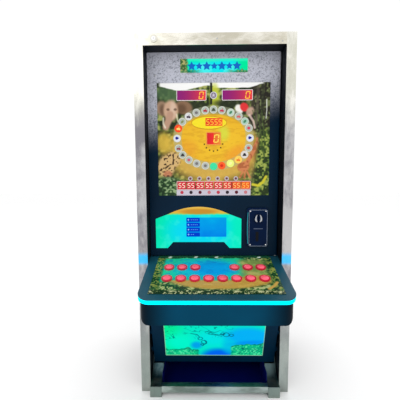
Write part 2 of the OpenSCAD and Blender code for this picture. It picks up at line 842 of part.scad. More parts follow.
module top_lock_cam() {
    color("gainsboro") placed() translate([top_lock_x, 0, top_lock_z]) difference() {
        union() {
            rod_y(0, -2.4, 0, plug_r, plug_l);
            rod_y(0, plug_l - 2.4 - eps, 0, 4, top_cam_y - plug_l + 2.4 + cam_t);
            span([-cam_w/2, top_cam_y, -cam_w/2], [top_cam_l, top_cam_y + cam_t, cam_w/2]);
        }
        span([-0.8, -3, -3.5], [0.8, 2, 3.5]);
    }
}

// The rear lock looks out of the back, so it is turned about Z
module at_rear_lock() { translate([rear_lock_x, rdoor_y, rear_lock_z]) rotate([0, 0, 180]) children(); }

module rear_lock_body() { color("silver") placed() at_rear_lock() lock_body(22, sheet_t); }

module rear_lock_cam() {
    color("gainsboro") placed() at_rear_lock() difference() {
        union() {
            rod_y(0, -2.4, 0, plug_r, rear_cam_y + 2.4);
            span([-cam_w/2, rear_cam_y, -cam_w/2], [cam_w/2, rear_cam_y + cam_t, rear_cam_l]);
        }
        span([-0.8, -3, -3.5], [0.8, 2, 3.5]);
    }
}

// ---------- rear door and fan ----------

module rear_door() {
    y1 = rdoor_y - sheet_t;
    y0 = rdoor_y - rdoor_d;
    bore_h = pin_in + 2;
    color("dimgray") placed() difference() {
        union() {
            span([-rdoor_x, y1, rdoor_z0], [rpivot_x, rdoor_y, rdoor_z1]);
            span([-rdoor_x, y0, rdoor_z0], [-rdoor_x + sheet_t, rdoor_y, rdoor_z1]);
            span([rpivot_x - sheet_t, y0, rdoor_z0], [rpivot_x, rpivot_y, rdoor_z1]);
            for (z = [rdoor_z0, rdoor_z1 - sheet_t])
                span([-rdoor_x, y0, z], [rpivot_x, rdoor_y, z + sheet_t]);
            translate([rpivot_x, rpivot_y, rdoor_z0]) cylinder(r = pivot_r, h = rdoor_z1 - rdoor_z0);
        }
        for (z = [rdoor_z0 - 1, rdoor_z1 - bore_h])
            translate([rpivot_x, rpivot_y, z]) cylinder(r = pin_r + run_clear, h = bore_h + 1);
        rod_y(rear_lock_x, y1 - 1, rear_lock_z, lock_r + hole_clear, sheet_t + 2);
        // louvre slots over the fan and low down
        for (k = [-3:3]) {
            span([-fan_w/2 + 10, y1 - 1, fan_z + k*9 - 2], [fan_w/2 - 10, rdoor_y + 1, fan_z + k*9 + 2]);
            span([-80, y1 - 1, rear_z + 90 + k*12 - 2.5], [80, rdoor_y + 1, rear_z + 90 + k*12 + 2.5]);
        }
    }
}

module fan_housing() {
    color("#202020") placed() translate([0, fan_y, fan_z]) difference() {
        span([-fan_w/2, 0, -fan_w/2], [fan_w/2, fan_t, fan_w/2]);
        difference() {
            rod_y(0, -1, 0, fan_w/2 - 2, fan_t + 2);
            rod_y(0, 0, 0, fan_hub_r, 2.5);
            for (a = [90, 210, 330]) rotate([0, a, 0]) span([0, 0, -2.5], [fan_w/2, 2.5, 2.5]);
        }
        rod_y(0, -1, 0, 1.5 + run_clear, 10);
        for (x = [-1, 1], z = [-1, 1]) rod_y(x*(fan_w/2 - 4.5), -1, z*(fan_w/2 - 4.5), 2.2, fan_t + 2);
    }
}

module fan_rotor() {
    r = fan_w/2 - 3.5;
    color("#303030") placed() translate([0, fan_y, fan_z]) {
        rod_y(0, 0.5, 0, 1.5, 6);
        rod_y(0, 4, 0, fan_hub_r, fan_t - 7);
        for (k = [0:6]) rotate([0, k*360/7, 0]) translate([fan_hub_r - 2, fan_t/2 + 0.5, 0])
            rotate([40, 0, 0]) span([0, -9, -0.8], [r - fan_hub_r + 1, 9, 0.8]);
    }
}

// ---------- inside ----------

module cash_box() {
    z = floor_z + sheet_t;
    color("silver") placed() translate([cash[0], cash[1], z]) difference() {
        cube([cash[2], cash[3], cash[4]]);
        translate([2, 2, 2]) cube([cash[2] - 4, cash[3] - 4, cash[4]]);
    }
}

// Sloping duct from the coin unit's outlet down to the cash box
module coin_chute() {
    y0 = sill_y1;
    z1 = chute_top;
    z0 = floor_z + cash[4] + 10;
    y2 = cash[1] + 70;
    t = 1.5;
    m = chute_d;
    color("silver") placed() difference() {
        yz(coin_x - chute_w/2, chute_w) polygon([[y0, z1], [y0 + m, z1], [y2 + m, z0], [y2, z0]]);
        yz(coin_x - chute_w/2 + t, chute_w - 2*t)
            polygon([[y0 + t, z1 + 1], [y0 + m - t, z1 + 1], [y2 + m - 2*t, z0 - 1], [y2 + 2*t, z0 - 1]]);
    }
}

module main_board() {
    x = -in_x;
    z = rear_z + 320;
    color("darkgreen") placed() {
        span([x + 10, board_y, z], [x + 12, board_y + 160, z + 240]);
        for (y = [8, 152], dz = [8, 232]) translate([x, board_y + y, z + dz]) rotate([0, 90, 0])
            cylinder(r = 4, h = 10 + eps);
        span([x + 12 - eps, board_y + 50, z + 90], [x + 20, board_y + 100, z + 140]);
        span([x + 12 - eps, board_y + 20, z + 190], [x + 28, board_y + 140, z + 200]);
        for (k = [0:3]) span([x + 12 - eps, board_y + 20 + 32*k, z + 20], [x + 24, board_y + 40 + 32*k, z + 60]);
    }
}

module power_supply() {
    z = floor_z + sheet_t;
    color("silver") placed() difference() {
        span([-190, bay_d + 30, z], [-80, bay_d + 160, z + 50]);
        for (k = [0:7]) span([-191, bay_d + 40 + 14*k, z + 12], [-79, bay_d + 46 + 14*k, z + 38]);
        span([-186, bay_d + 34, z + 4], [-84, bay_d + 156, z + 46]);
    }
}

module mains_inlet() {
    w = inlet_w/2 - 0.2;
    h = inlet_h/2 - 0.2;
    color("#181818") placed() translate([inlet[0], 0, inlet[1]]) difference() {
        union() {
            span([-inlet_w/2 - 4, rear_y, -inlet_h/2 - 4], [inlet_w/2 + 4, cab_d, inlet_h/2 + 4]);
            span([-w, rear_y - 26, -h], [w, rear_y + eps, h]);
        }
        span([-14, rear_y - 18, -9], [14, cab_d + 1, 9]);
    }
}

left_post();
right_post();
top_bar();
left_side_panel();
right_side_panel();
roof_panel();
header_panel();
door_sill();
floor_panel();
rear_frame();
raked_panel();
lower_window();
lower_light_box();
toe_bay();
foot_rail();
leg_brackets();
rear_feet();
deck_box();
deck_plate();
deck_overlay();
deck_led_strip();
button_housings();
button_switches();
plunger(0);  // button_01
plunger(1);  // button_02
plunger(2);  // button_03
plunger(3);  // button_04
plunger(4);  // button_05
plunger(5);  // button_06
plunger(6);  // button_07
plunger(7);  // button_08
plunger(8);  // button_09
plunger(9);  // button_10
plunger(10);  // button_11
plunger(11);  // button_12
plunger(12);  // button_13
plunger(13);  // button_14
speaker();
door_pins();
top_lock_body();
top_lock_cam();
cash_box();
coin_chute();
main_board();
power_supply();
mains_inlet();
upper_door();
marquee_lens();
game_glass();
game_board();
arch_window();
lcd_module();
coin_plate();
coin_mech();
coin_flap();
rear_door();
rear_lock_body();
rear_lock_cam();
fan_housing();
fan_rotor();
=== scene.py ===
"""Looks of a coin-operated lamp-ring game machine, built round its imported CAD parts.

The sheet metal, doors, deck and inside parts keep their CAD shapes and get
procedural finishes. The printed windows, lamps, displays and small fixings are
new pieces, worked out in numpy on the faces of the CAD parts that carry them.
Places are in metres in the CAD's own frame. Artwork is in millimetres from the
middle of its own face: u to the right, v up, h out of the face.
"""

import logging
import math
from dataclasses import dataclass, field
from enum import Enum

import bpy
import numpy as np
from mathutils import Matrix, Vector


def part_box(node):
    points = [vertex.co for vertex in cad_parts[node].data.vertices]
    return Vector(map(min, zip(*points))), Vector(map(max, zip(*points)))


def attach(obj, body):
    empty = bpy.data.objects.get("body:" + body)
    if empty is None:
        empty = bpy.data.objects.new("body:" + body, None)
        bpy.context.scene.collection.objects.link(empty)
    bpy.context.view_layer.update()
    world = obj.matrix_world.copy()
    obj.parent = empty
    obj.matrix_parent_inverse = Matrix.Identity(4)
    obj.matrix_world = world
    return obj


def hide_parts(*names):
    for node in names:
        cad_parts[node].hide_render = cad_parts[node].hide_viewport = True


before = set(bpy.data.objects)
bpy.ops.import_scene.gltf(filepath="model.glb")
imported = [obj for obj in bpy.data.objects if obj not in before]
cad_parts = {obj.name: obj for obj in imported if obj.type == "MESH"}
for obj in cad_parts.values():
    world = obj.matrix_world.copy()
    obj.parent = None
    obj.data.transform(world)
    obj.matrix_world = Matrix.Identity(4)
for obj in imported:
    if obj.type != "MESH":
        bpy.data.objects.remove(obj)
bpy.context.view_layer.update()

MM = 0.001
FRONT_Y = -0.087  # just behind the front plane of the posts, in metres
BUTTON_COUNT = 14
PRINT = "print"  # the colour attribute that holds a piece's printed or lit colours
Colour = tuple[float, float, float]
Array = np.ndarray
log = logging.getLogger("game_machine")


class Body(Enum):
    """The CAD bodies that new pieces ride on."""

    CABINET = "cabinet"
    DOOR = "game_door"


class Symbol(Enum):
    """The generic pictures on the lamps."""

    CHERRY = "cherry"
    LIME = "lime"
    PLUM = "plum"
    BELL = "bell"
    DROP = "drop"
    PLAIN = "plain"


# ---------- colours and noise ----------


def light(colour: Array | Colour) -> Array:
    """Turns screen colours from 0 to 255 into linear light, by the sRGB curve.

    Args:
        colour: Screen colours, with red, green and blue last.

    Returns:
        The same colours as linear light from 0 to 1.
    """
    c = np.asarray(colour, float) / 255
    return np.where(c <= 0.04045, c / 12.92, ((c + 0.055) / 1.055) ** 2.4)


def paint(colour: Colour, share: float = 1.0) -> Colour:
    """A screen colour as a shader's linear colour, made lighter or darker by share."""
    return tuple(light(colour) * share)


def smooth(low: float, high: float, x: Array) -> Array:
    """A cubic step: 0 below low, 1 above high, 3t² - 2t³ between."""
    t = np.clip((x - low) / (high - low), 0, 1)
    return t * t * (3 - 2 * t)


@dataclass(frozen=True)
class Noise:
    """Smooth value noise: random heights on a square lattice, blended by cubic steps."""

    seed: int
    cells: int = 128

    def at(self, x: Array, y: Array, size: float) -> Array:
        """The noise at x and y, for lattice squares of that size.

        Args:
            x: Places across.
            y: Places up.
            size: Side of one lattice square, in the units of x and y.

        Returns:
            Values from 0 to 1, in the shape of x.
        """
        table = np.random.default_rng(self.seed).random((self.cells, self.cells))
        gx, gy = x / size, y / size
        ix, iy = np.floor(gx).astype(int), np.floor(gy).astype(int)
        fx, fy = smooth(0, 1, gx - ix), smooth(0, 1, gy - iy)
        near, far = ix % self.cells, (ix + 1) % self.cells
        low, high = iy % self.cells, (iy + 1) % self.cells
        bottom = table[near, low] * (1 - fx) + table[far, low] * fx
        top = table[near, high] * (1 - fx) + table[far, high] * fx
        return bottom * (1 - fy) + top * fy

    def cloud(self, x: Array, y: Array, size: float, octaves: int = 3) -> Array:
        """Octaves of the noise, each half as large and half as strong, from 0 to 1."""
        total = sum(self.at(x + 17.3 * k, y - 9.1 * k, size / 2**k) / 2**k for k in range(octaves))
        return total / (2 - 2 ** (1 - octaves))


# ---------- faces of the CAD parts ----------


@dataclass(frozen=True)
class Face:
    """A flat face that carries artwork: its middle and its three directions."""

    middle: Array
    across: Array
    up: Array
    out: Array
    width: float = 0.0
    height: float = 0.0

    def point(self, u: Array, v: Array, h: Array | float = 0.0) -> Array:
        """Places on the face: middle + u across + v up + h out, given in millimetres."""
        u, v = np.broadcast_arrays(np.asarray(u, float), np.asarray(v, float))
        h = np.broadcast_to(np.asarray(h, float), u.shape)
        steps = u[..., None] * self.across + v[..., None] * self.up + h[..., None] * self.out
        return self.middle + steps * MM

    def raised(self, h: float) -> "Face":
        """The same face, h millimetres further out."""
        return Face(
            self.middle + self.out * h * MM, self.across, self.up, self.out, self.width, self.height
        )


def face_of(node: str, toward: Colour) -> Face:
    """Finds the largest flat face of a CAD node that looks a given way.

    The triangles whose normals agree with the best one are sorted by their
    distance along it, and the distance with the largest area is the face.

    Args:
        node: Name of the CAD node.
        toward: Direction that the face looks in, roughly.

    Returns:
        The face, with its middle at the middle of its outline.
    """
    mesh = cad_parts[node].data
    count = len(mesh.polygons)
    normal, centre, area = np.zeros(count * 3), np.zeros(count * 3), np.zeros(count)
    mesh.polygons.foreach_get("normal", normal)
    mesh.polygons.foreach_get("center", centre)
    mesh.polygons.foreach_get("area", area)
    normal, centre = normal.reshape(-1, 3), centre.reshape(-1, 3)
    facing = np.clip(normal @ (np.array(toward) / np.linalg.norm(toward)), 0, 1) ** 4
    out = normal[np.argmax(facing * area)]
    out = out / np.linalg.norm(out)
    distance = np.round((centre @ out) / (0.02 * MM)).astype(int)
    agrees = normal @ out > 0.9999
    levels, group = np.unique(distance[agrees], return_inverse=True)
    best = levels[np.argmax(np.bincount(group, weights=area[agrees]))]
    chosen = np.flatnonzero(agrees & (abs(distance - best) <= 1))
    corners = np.array([mesh.vertices[i].co for f in chosen for i in mesh.polygons[f].vertices])
    across = np.array([1.0, 0.0, 0.0])
    up = np.cross(out, across)
    u, v, h = corners @ across, corners @ up, corners @ out
    low, high = np.array([u.min(), v.min()]), np.array([u.max(), v.max()])
    mid = (low + high) / 2
    middle = mid[0] * across + mid[1] * up + h.mean() * out
    return Face(middle, across, up, out, *(float(x) for x in (high - low) / MM))


# ---------- shapes ----------


@dataclass
class Shape:
    """Vertices, faces and one screen colour per vertex."""

    points: Array
    faces: list[tuple[int, ...]]
    colours: Array

    def __add__(self, other: "Shape") -> "Shape":
        """Both shapes in one."""
        shift = len(self.points)
        faces = self.faces + [tuple(i + shift for i in f) for f in other.faces]
        return Shape(
            np.vstack([self.points, other.points]), faces, np.vstack([self.colours, other.colours])
        )


def joined(shapes: list[Shape]) -> Shape:
    """Puts several shapes into one."""
    total = shapes[0]
    for shape in shapes[1:]:
        total = total + shape
    return total


def coloured(points: Array, colour: Array | Colour) -> Array:
    """One colour row for each point."""
    return np.broadcast_to(np.asarray(colour, float), (len(points), 3)).copy()


def squares(index: Array) -> Array:
    """The squares of a grid of vertex numbers: four corners each, in turn."""
    return np.stack([index[:-1, :-1], index[1:, :-1], index[1:, 1:], index[:-1, 1:]], -1)


def slab(face: Face, u: Array, v: Array, thick: float, front: Array, edge: Colour) -> Shape:
    """A closed sheet whose front is a fine grid.

    The front is the grid of u and v on the face. Its rim drops straight back by
    thick millimetres to one flat back face.

    Args:
        face: The face that the front lies in.
        u: Places across, as a grid with its first index across.
        v: Places up, as a grid with its second index up.
        thick: Thickness in millimetres.
        front: Screen colours of the front's grid points.
        edge: Screen colour of the rim and the back.

    Returns:
        The closed sheet.
    """
    n, m = u.shape
    index = np.arange(n * m).reshape(n, m)
    quads = squares(index).reshape(-1, 4)
    rim = np.concatenate([index[:-1, 0], index[-1, :-1], index[:0:-1, -1], index[0, :0:-1]])
    top = face.point(u, v).reshape(-1, 3)
    back = top[rim] - face.out * thick * MM
    below = n * m + np.arange(len(rim))
    walls = np.stack([rim, below, np.roll(below, -1), np.roll(rim, -1)], -1)
    faces = [tuple(q) for q in quads.tolist()] + [tuple(q) for q in walls.tolist()]
    faces.append(tuple(below[::-1].tolist()))
    points = np.vstack([top, back])
    return Shape(points, faces, np.vstack([front.reshape(-1, 3), coloured(back, edge)]))


def prism(face: Face, outline: Array, low: float, high: float, colour: Colour) -> Shape:
    """A flat outline, counter-clockwise in u and v, given height from low to high."""
    n = len(outline)
    top = face.point(outline[:, 0], outline[:, 1], high)
    base = face.point(outline[:, 0], outline[:, 1], low)
    i, j = np.arange(n), np.roll(np.arange(n), -1)
    walls = np.stack([i, i + n, j + n, j], -1)
    faces = [tuple(range(n)), tuple(range(2 * n - 1, n - 1, -1))] + [tuple(q) for q in walls.tolist()]
    points = np.vstack([top, base])
    return Shape(points, faces, coloured(points, colour))


def turned(face: Face, centres: Array, radius: Array, height: Array, sides: int) -> tuple[Shape, Array]:
    """Round pieces: one profile of radius and height, turned about each centre.

    The profile starts and ends on the axis, where it closes in a single point.

    Args:
        face: The face that the pieces stand on.
        centres: Their middles in u and v, one row each.
        radius: The profile's radii in millimetres, both ends 0.
        height: The profile's heights above the face in millimetres.
        sides: Points round each ring.

    Returns:
        All the pieces as one shape, and each vertex's u and v from its own middle.
    """
    a = np.arange(sides) * 2 * math.pi / sides
    rings = len(radius) - 2
    ru = (radius[1:-1, None] * np.cos(a)).ravel()
    rv = (radius[1:-1, None] * np.sin(a)).ravel()
    u = np.concatenate([[0], ru, [0]])
    v = np.concatenate([[0], rv, [0]])
    h = np.concatenate([height[:1], np.repeat(height[1:-1], sides), height[-1:]])
    index = 1 + np.arange(rings * sides).reshape(rings, sides)
    after = np.roll(index, -1, axis=1)
    quads = np.stack([index[:-1], index[1:], after[1:], after[:-1]], -1).reshape(-1, 4)
    last = rings * sides + 1
    first_fan = np.stack([np.zeros(sides, int), index[0], after[0]], -1)
    last_fan = np.stack([index[-1], np.full(sides, last), after[-1]], -1)
    own = [first_fan, quads, last_fan]
    per = last + 1
    faces = [tuple(f) for k in range(len(centres)) for part in own for f in (part + k * per).tolist()]
    local = np.tile(np.stack([u, v], -1), (len(centres), 1))
    places = local + np.repeat(np.asarray(centres, float), per, axis=0)
    points = face.point(places[:, 0], places[:, 1], np.tile(h, len(centres)))
    return Shape(points, faces, coloured(points, (255, 255, 255))), local


def rim_tube(
    face: Face, outline: Array, radius: float, height: float, colour: Colour, sides: int = 8
) -> Shape:
    """A closed tube carried along an outline: each ring stands across the outline's own direction."""
    ahead = np.roll(outline, -1, axis=0) - np.roll(outline, 1, axis=0)
    ahead = ahead / np.linalg.norm(ahead, axis=1, keepdims=True)
    side = np.stack([ahead[:, 1], -ahead[:, 0]], -1)
    a = np.arange(sides) * 2 * math.pi / sides
    places = outline[:, None, :] + side[:, None, :] * (radius * np.cos(a))[None, :, None]
    h = np.broadcast_to(height + radius * np.sin(a), places.shape[:2])
    points = face.point(places[..., 0], places[..., 1], h).reshape(-1, 3)
    index = np.arange(len(outline) * sides).reshape(len(outline), sides)
    right, ahead_index = np.roll(index, -1, axis=1), np.roll(index, -1, axis=0)
    both = np.roll(right, -1, axis=0)
    quads = np.stack([index, ahead_index, both, right], -1).reshape(-1, 4)
    return Shape(points, [tuple(q) for q in quads.tolist()], coloured(points, colour))


def round_rect(u: float, v: float, width: float, height: float, radius: float, steps: int = 6) -> Array:
    """A rectangle with quarter-circle corners, counter-clockwise from the lower right."""
    a = np.linspace(0, math.pi / 2, steps)
    corner = np.stack([np.cos(a), np.sin(a)], -1) * radius
    w, h = width / 2 - radius, height / 2 - radius
    spin = [(1, 0), (0, 1), (-1, 0), (0, -1)]
    middles = [(w, h), (-w, h), (-w, -h), (w, -h)]
    parts = []
    for (c, s), middle in zip(spin, middles):
        parts.append(corner @ np.array([[c, s], [-s, c]]) + middle)
    return np.vstack(parts) + (u, v)


def star(u: float, v: float, radius: float, points: int = 5, inner: float = 0.45) -> Array:
    """A star outline: its radius swings between full and inner times full."""
    a = math.pi / 2 + np.arange(points * 2) * math.pi / points
    r = np.where(np.arange(points * 2) % 2 == 0, radius, radius * inner)
    return np.stack([u + r * np.cos(a), v + r * np.sin(a)], -1)


def digit(face: Face, u: float, v: float, height: float, shown: int, low: float, colour: Colour) -> Shape:
    """A slanted seven-segment digit of six-sided bars.

    Args:
        face: The face it stands on.
        u: Its middle, across.
        v: Its middle, up.
        height: Its height in millimetres.
        shown: The digit, 0 or 5.
        low: Height of its base above the face.
        colour: Screen colour of the lit bars.

    Returns:
        The lit bars as one shape.
    """
    lit = {0: "abcdef", 5: "afgcd"}[shown]
    w, t = height * 0.25, height * 0.06
    q = height / 4
    bars = {
        "a": (0, 2 * q - t, 0), "b": (w, q, 1), "c": (w, -q, 1), "d": (0, -2 * q + t, 0),
        "e": (-w, -q, 1), "f": (-w, q, 1), "g": (0, 0, 0),
    }
    shapes = []
    for name in lit:
        x, y, upright = bars[name]
        half = (q if upright else w) - t * 0.55
        bar = np.array(
            [[-half, 0], [-half + t, -t], [half - t, -t], [half, 0], [half - t, t], [-half + t, t]]
        )
        bar = np.stack([-bar[:, 1], bar[:, 0]], -1) if upright else bar
        places = bar + (x, y)
        slanted = np.stack([u + places[:, 0] + 0.16 * places[:, 1], v + places[:, 1]], -1)
        shapes.append(prism(face, slanted, low, low + 0.3, colour))
    return joined(shapes)


# ---------- printed pictures ----------


@dataclass
class Canvas:
    """A picture painted on a grid of places, with soft-edged dabs of colour."""

    width: float
    height: float
    step: float
    ground: Colour = (40, 60, 30)
    u: Array = field(init=False)
    v: Array = field(init=False)
    rgb: Array = field(init=False)

    def __post_init__(self) -> None:
        """Lays out the grid and fills it with the ground colour."""
        across = np.linspace(-self.width / 2, self.width / 2, math.ceil(self.width / self.step) + 1)
        upward = np.linspace(-self.height / 2, self.height / 2, math.ceil(self.height / self.step) + 1)
        self.u, self.v = np.meshgrid(across, upward, indexing="ij")
        self.rgb = np.broadcast_to(np.array(self.ground, float), (*self.u.shape, 3)).copy()

    def lay(self, mask: Array, colour: Array | Colour) -> None:
        """Covers the picture with a colour, as strongly as the mask says."""
        self.rgb += np.clip(mask, 0, 1)[..., None] * (np.asarray(colour, float) - self.rgb)

    def oval(self, u: float, v: float, ru: float, rv: float, turn: float = 0.0, soft: float = 0.2) -> Array:
        """A soft-edged oval: 1 inside, 0 outside.

        Args:
            u: Middle, across.
            v: Middle, up.
            ru: Half its length.
            rv: Half its breadth.
            turn: Turn of its length from the u direction, in degrees.
            soft: Width of its edge, as a share of its size.

        Returns:
            The mask.
        """
        c, s = math.cos(math.radians(turn)), math.sin(math.radians(turn))
        x, y = self.u - u, self.v - v
        r = np.hypot((x * c + y * s) / ru, (y * c - x * s) / rv)
        return 1 - smooth(1 - soft, 1 + soft, r)

    def stroke(self, places: list[tuple[float, float]], width: float, soft: float = 0.5) -> Array:
        """A brush stroke: 1 within half the width of a line through the places, fading outside it."""
        line = np.array(places, float)
        nearest = np.full(self.u.shape, np.inf)
        for a, b in zip(line[:-1], line[1:]):
            d = b - a
            t = np.clip(((self.u - a[0]) * d[0] + (self.v - a[1]) * d[1]) / (d @ d), 0, 1)
            nearest = np.minimum(nearest, np.hypot(self.u - a[0] - t * d[0], self.v - a[1] - t * d[1]))
        return 1 - smooth(width / 2 * (1 - soft), width / 2 * (1 + soft), nearest)

    def leaves(self, where: Array, tones: list[Colour], size: float, seed: int) -> None:
        """Fills a region with foliage: noise bands in the tones, from the darkest up."""
        cloud = 0.6 * Noise(seed).cloud(
            self.u, self.v * 1.3, size
        ) + 0.4 * Noise(seed + 1).at(self.u, self.v, size / 3)
        self.lay(where, tones[0])
        for k, tone in enumerate(tones[1:], 1):
            level = 0.36 + 0.30 * k / len(tones)
            self.lay(where * smooth(level, level + 0.05, cloud), tone)

    def slab(self, face: Face, thick: float, edge: Colour = (225, 228, 226)) -> Shape:
        """The picture as the front of a closed sheet."""
        return slab(face, self.u, self.v, thick, self.rgb, edge)


# ---------- shader graphs ----------


class Wire:
    """A shader value that works in arithmetic."""

    def __init__(self, graph: "Graph", socket: bpy.types.NodeSocket) -> None:
        """Keeps the graph and the socket that the value leaves from."""
        self.graph, self.socket = graph, socket

    def _math(self, operation: str, a: "Wire | float", b: "Wire | float") -> "Wire":
        """One Math node on a and b."""
        return self.graph.node("ShaderNodeMath", {"operation": operation}, {0: a, 1: b})

    def __add__(self, other: "Wire | float") -> "Wire":
        """self + other."""
        return self._math("ADD", self, other)

    __radd__ = __add__

    def __sub__(self, other: "Wire | float") -> "Wire":
        """self - other."""
        return self._math("SUBTRACT", self, other)

    def __rsub__(self, other: "Wire | float") -> "Wire":
        """other - self."""
        return self._math("SUBTRACT", other, self)

    def __mul__(self, other: "Wire | float") -> "Wire":
        """self times other."""
        return self._math("MULTIPLY", self, other)

    __rmul__ = __mul__

    def __truediv__(self, other: "Wire | float") -> "Wire":
        """self over other."""
        return self._math("DIVIDE", self, other)

    def __rtruediv__(self, other: "Wire | float") -> "Wire":
        """other over self."""
        return self._math("DIVIDE", other, self)

    def __pow__(self, other: "Wire | float") -> "Wire":
        """self to the power of other."""
        return self._math("POWER", self, other)

    def step(self, low: float, high: float) -> "Wire":
        """A smooth step from 0 at low to 1 at high."""
        ends = {"Value": self, "From Min": low, "From Max": high}
        return self.graph.node("ShaderNodeMapRange", {"interpolation_type": "SMOOTHSTEP"}, ends)


class Graph:
    """A material's shader, built node by node round one Principled shader."""

    def __init__(self, name: str) -> None:
        """Starts a material that holds only its output."""
        self.material = bpy.data.materials.new(name)
        self.material.use_nodes = True
        self.tree = self.material.node_tree
        self.tree.nodes.clear()
        self.end = self.tree.nodes.new("ShaderNodeOutputMaterial")

    def node(
        self, kind: str, settings: dict | None = None, inputs: dict | None = None, out: int | str = 0
    ) -> Wire:
        """Adds one node.

        Args:
            kind: The node's type.
            settings: Its properties, set first.
            inputs: Its sockets' values or wires, by name or index.
            out: The output to return.

        Returns:
            The chosen output.
        """
        node = self.tree.nodes.new(kind)
        for key, value in (settings or {}).items():
            setattr(node, key, value)
        for key, value in (inputs or {}).items():
            if isinstance(value, Wire):
                self.tree.links.new(value.socket, node.inputs[key])
            else:
                node.inputs[key].default_value = value
        return Wire(self, node.outputs[out])

    def place(self) -> Wire:
        """Object coordinates, in metres."""
        return self.node("ShaderNodeTexCoord", out="Object")

    def axis(self, which: str) -> Wire:
        """One of the Object coordinates X, Y or Z."""
        return self.node("ShaderNodeSeparateXYZ", {}, {0: self.place()}, which)

    def noise(
        self, scale: float, stretch: Colour = (1, 1, 1), detail: float = 2.0, rough: float = 0.5
    ) -> Wire:
        """Noise on Object coordinates, from about 0.3 to 0.7.

        Args:
            scale: Lumps per metre.
            stretch: Scale of each axis: a small number draws the lumps out along it.
            detail: Octaves.
            rough: Strength of the finer octaves.

        Returns:
            The noise value.
        """
        at = self.node("ShaderNodeMapping", {}, {"Vector": self.place(), "Scale": stretch})
        return self.node(
            "ShaderNodeTexNoise", {}, {
                "Vector": at, "Scale": scale, "Detail": detail, "Roughness": rough
            }, "Fac"
        )

    def mix(self, share: Wire | float, a: Wire | Colour, b: Wire | Colour) -> Wire:
        """A colour between a and b."""
        ends = [x if isinstance(x, Wire) else (*x, 1) for x in (a, b)]
        return self.node("ShaderNodeMix", {"data_type": "RGBA"}, {0: share, 6: ends[0], 7: ends[1]}, 2)

    def bump(self, height: Wire, strength: float, depth: float) -> Wire:
        """A normal that follows the height, which stands for depth metres."""
        return self.node("ShaderNodeBump", {}, {"Strength": strength, "Distance": depth, "Height": height})

    def attribute(self, name: str) -> Wire:
        """A colour attribute of the piece itself."""
        return self.node(
            "ShaderNodeAttribute", {"attribute_type": "GEOMETRY", "attribute_name": name}, {}, "Color"
        )

    def finish(self, inputs: dict) -> bpy.types.Material:
        """Closes the graph with a Principled shader that has these inputs."""
        shader = self.node("ShaderNodeBsdfPrincipled", {}, inputs)
        self.tree.links.new(shader.socket, self.end.inputs["Surface"])
        return self.material


# ---------- finishes ----------


@dataclass(frozen=True)
class PowderCoat:
    """Textured powder coat, with painted sheen where it has one: a silver fleck that thickens with height,
    standing for light caught on the coat's upper part.

    Attributes:
        colour: Screen colour of the coat.
        rough: Its roughness.
        sheen_fleck: Screen colour of the painted sheen's fleck.
        sheen_low: Height at which the painted sheen starts, in metres.
        sheen_high: Height at which it is full.
        sheen_full: How much of the surface it covers there.
        sheen_lean: How much sooner it starts on the left: height per width.
        grain: Depth of the texture, in metres.
        shine: Specular level.
        ends: Screen colour towards both ends of the part, when it differs: painted shade, darker where the
            part's rounded ends turn from the light.
        shade_from: Distance from the middle at which the painted shade begins, in metres.
        shade_to: Distance at which it is full.
    """

    name: str
    colour: Colour
    rough: float = 0.5
    sheen_fleck: Colour = (150, 150, 156)
    sheen_low: float = 0.0
    sheen_high: float = 1.0
    sheen_full: float = 0.0
    sheen_lean: float = 0.0
    grain: float = 0.0004
    shine: float = 0.08
    ends: Colour | None = None
    shade_from: float = 0.10
    shade_to: float = 0.21

    def build(self) -> bpy.types.Material:
        """Mixes coat and the painted sheen's fleck by two sizes of noise, paints shade towards the ends
        where asked, and raises the coat's orange-peel grain.
        """
        g = Graph(self.name)
        peel = g.noise(650, detail=2.0)
        speck = g.noise(210, detail=3.0, rough=0.8)
        worn = g.noise(7, detail=2.0)
        base = g.mix(worn.step(0.35, 0.68), paint(self.colour), paint(self.colour, 1.3))
        # Painted shade: the coat turns darker towards both ends of the part, where its rounded corners turn
        # from the light.
        if self.ends:
            painted_end_shade = ((g.axis("X") ** 2.0) ** 0.5).step(self.shade_from, self.shade_to)
            base = g.mix(painted_end_shade, base, paint(self.ends))
        # Painted sheen: a silver fleck that thickens with height stands for light caught on the upper part
        # of the coat.
        if self.sheen_full > 0:
            painted_sheen_rise = (g.axis("Z") - self.sheen_lean * g.axis("X")).step(self.sheen_low, self.sheen_high)
            sheen_cover = painted_sheen_rise * self.sheen_full * (0.42 + 0.58 * (speck + 0.06 * painted_sheen_rise).step(0.43, 0.57))
            base = g.mix(sheen_cover, base, paint(self.sheen_fleck))
        rough = self.rough + 0.16 * (speck - 0.5)
        return g.finish({
            "Base Color": base, "Roughness": rough, "Specular IOR Level": self.shine,
            "Normal": g.bump(peel, 0.5, self.grain),
        })


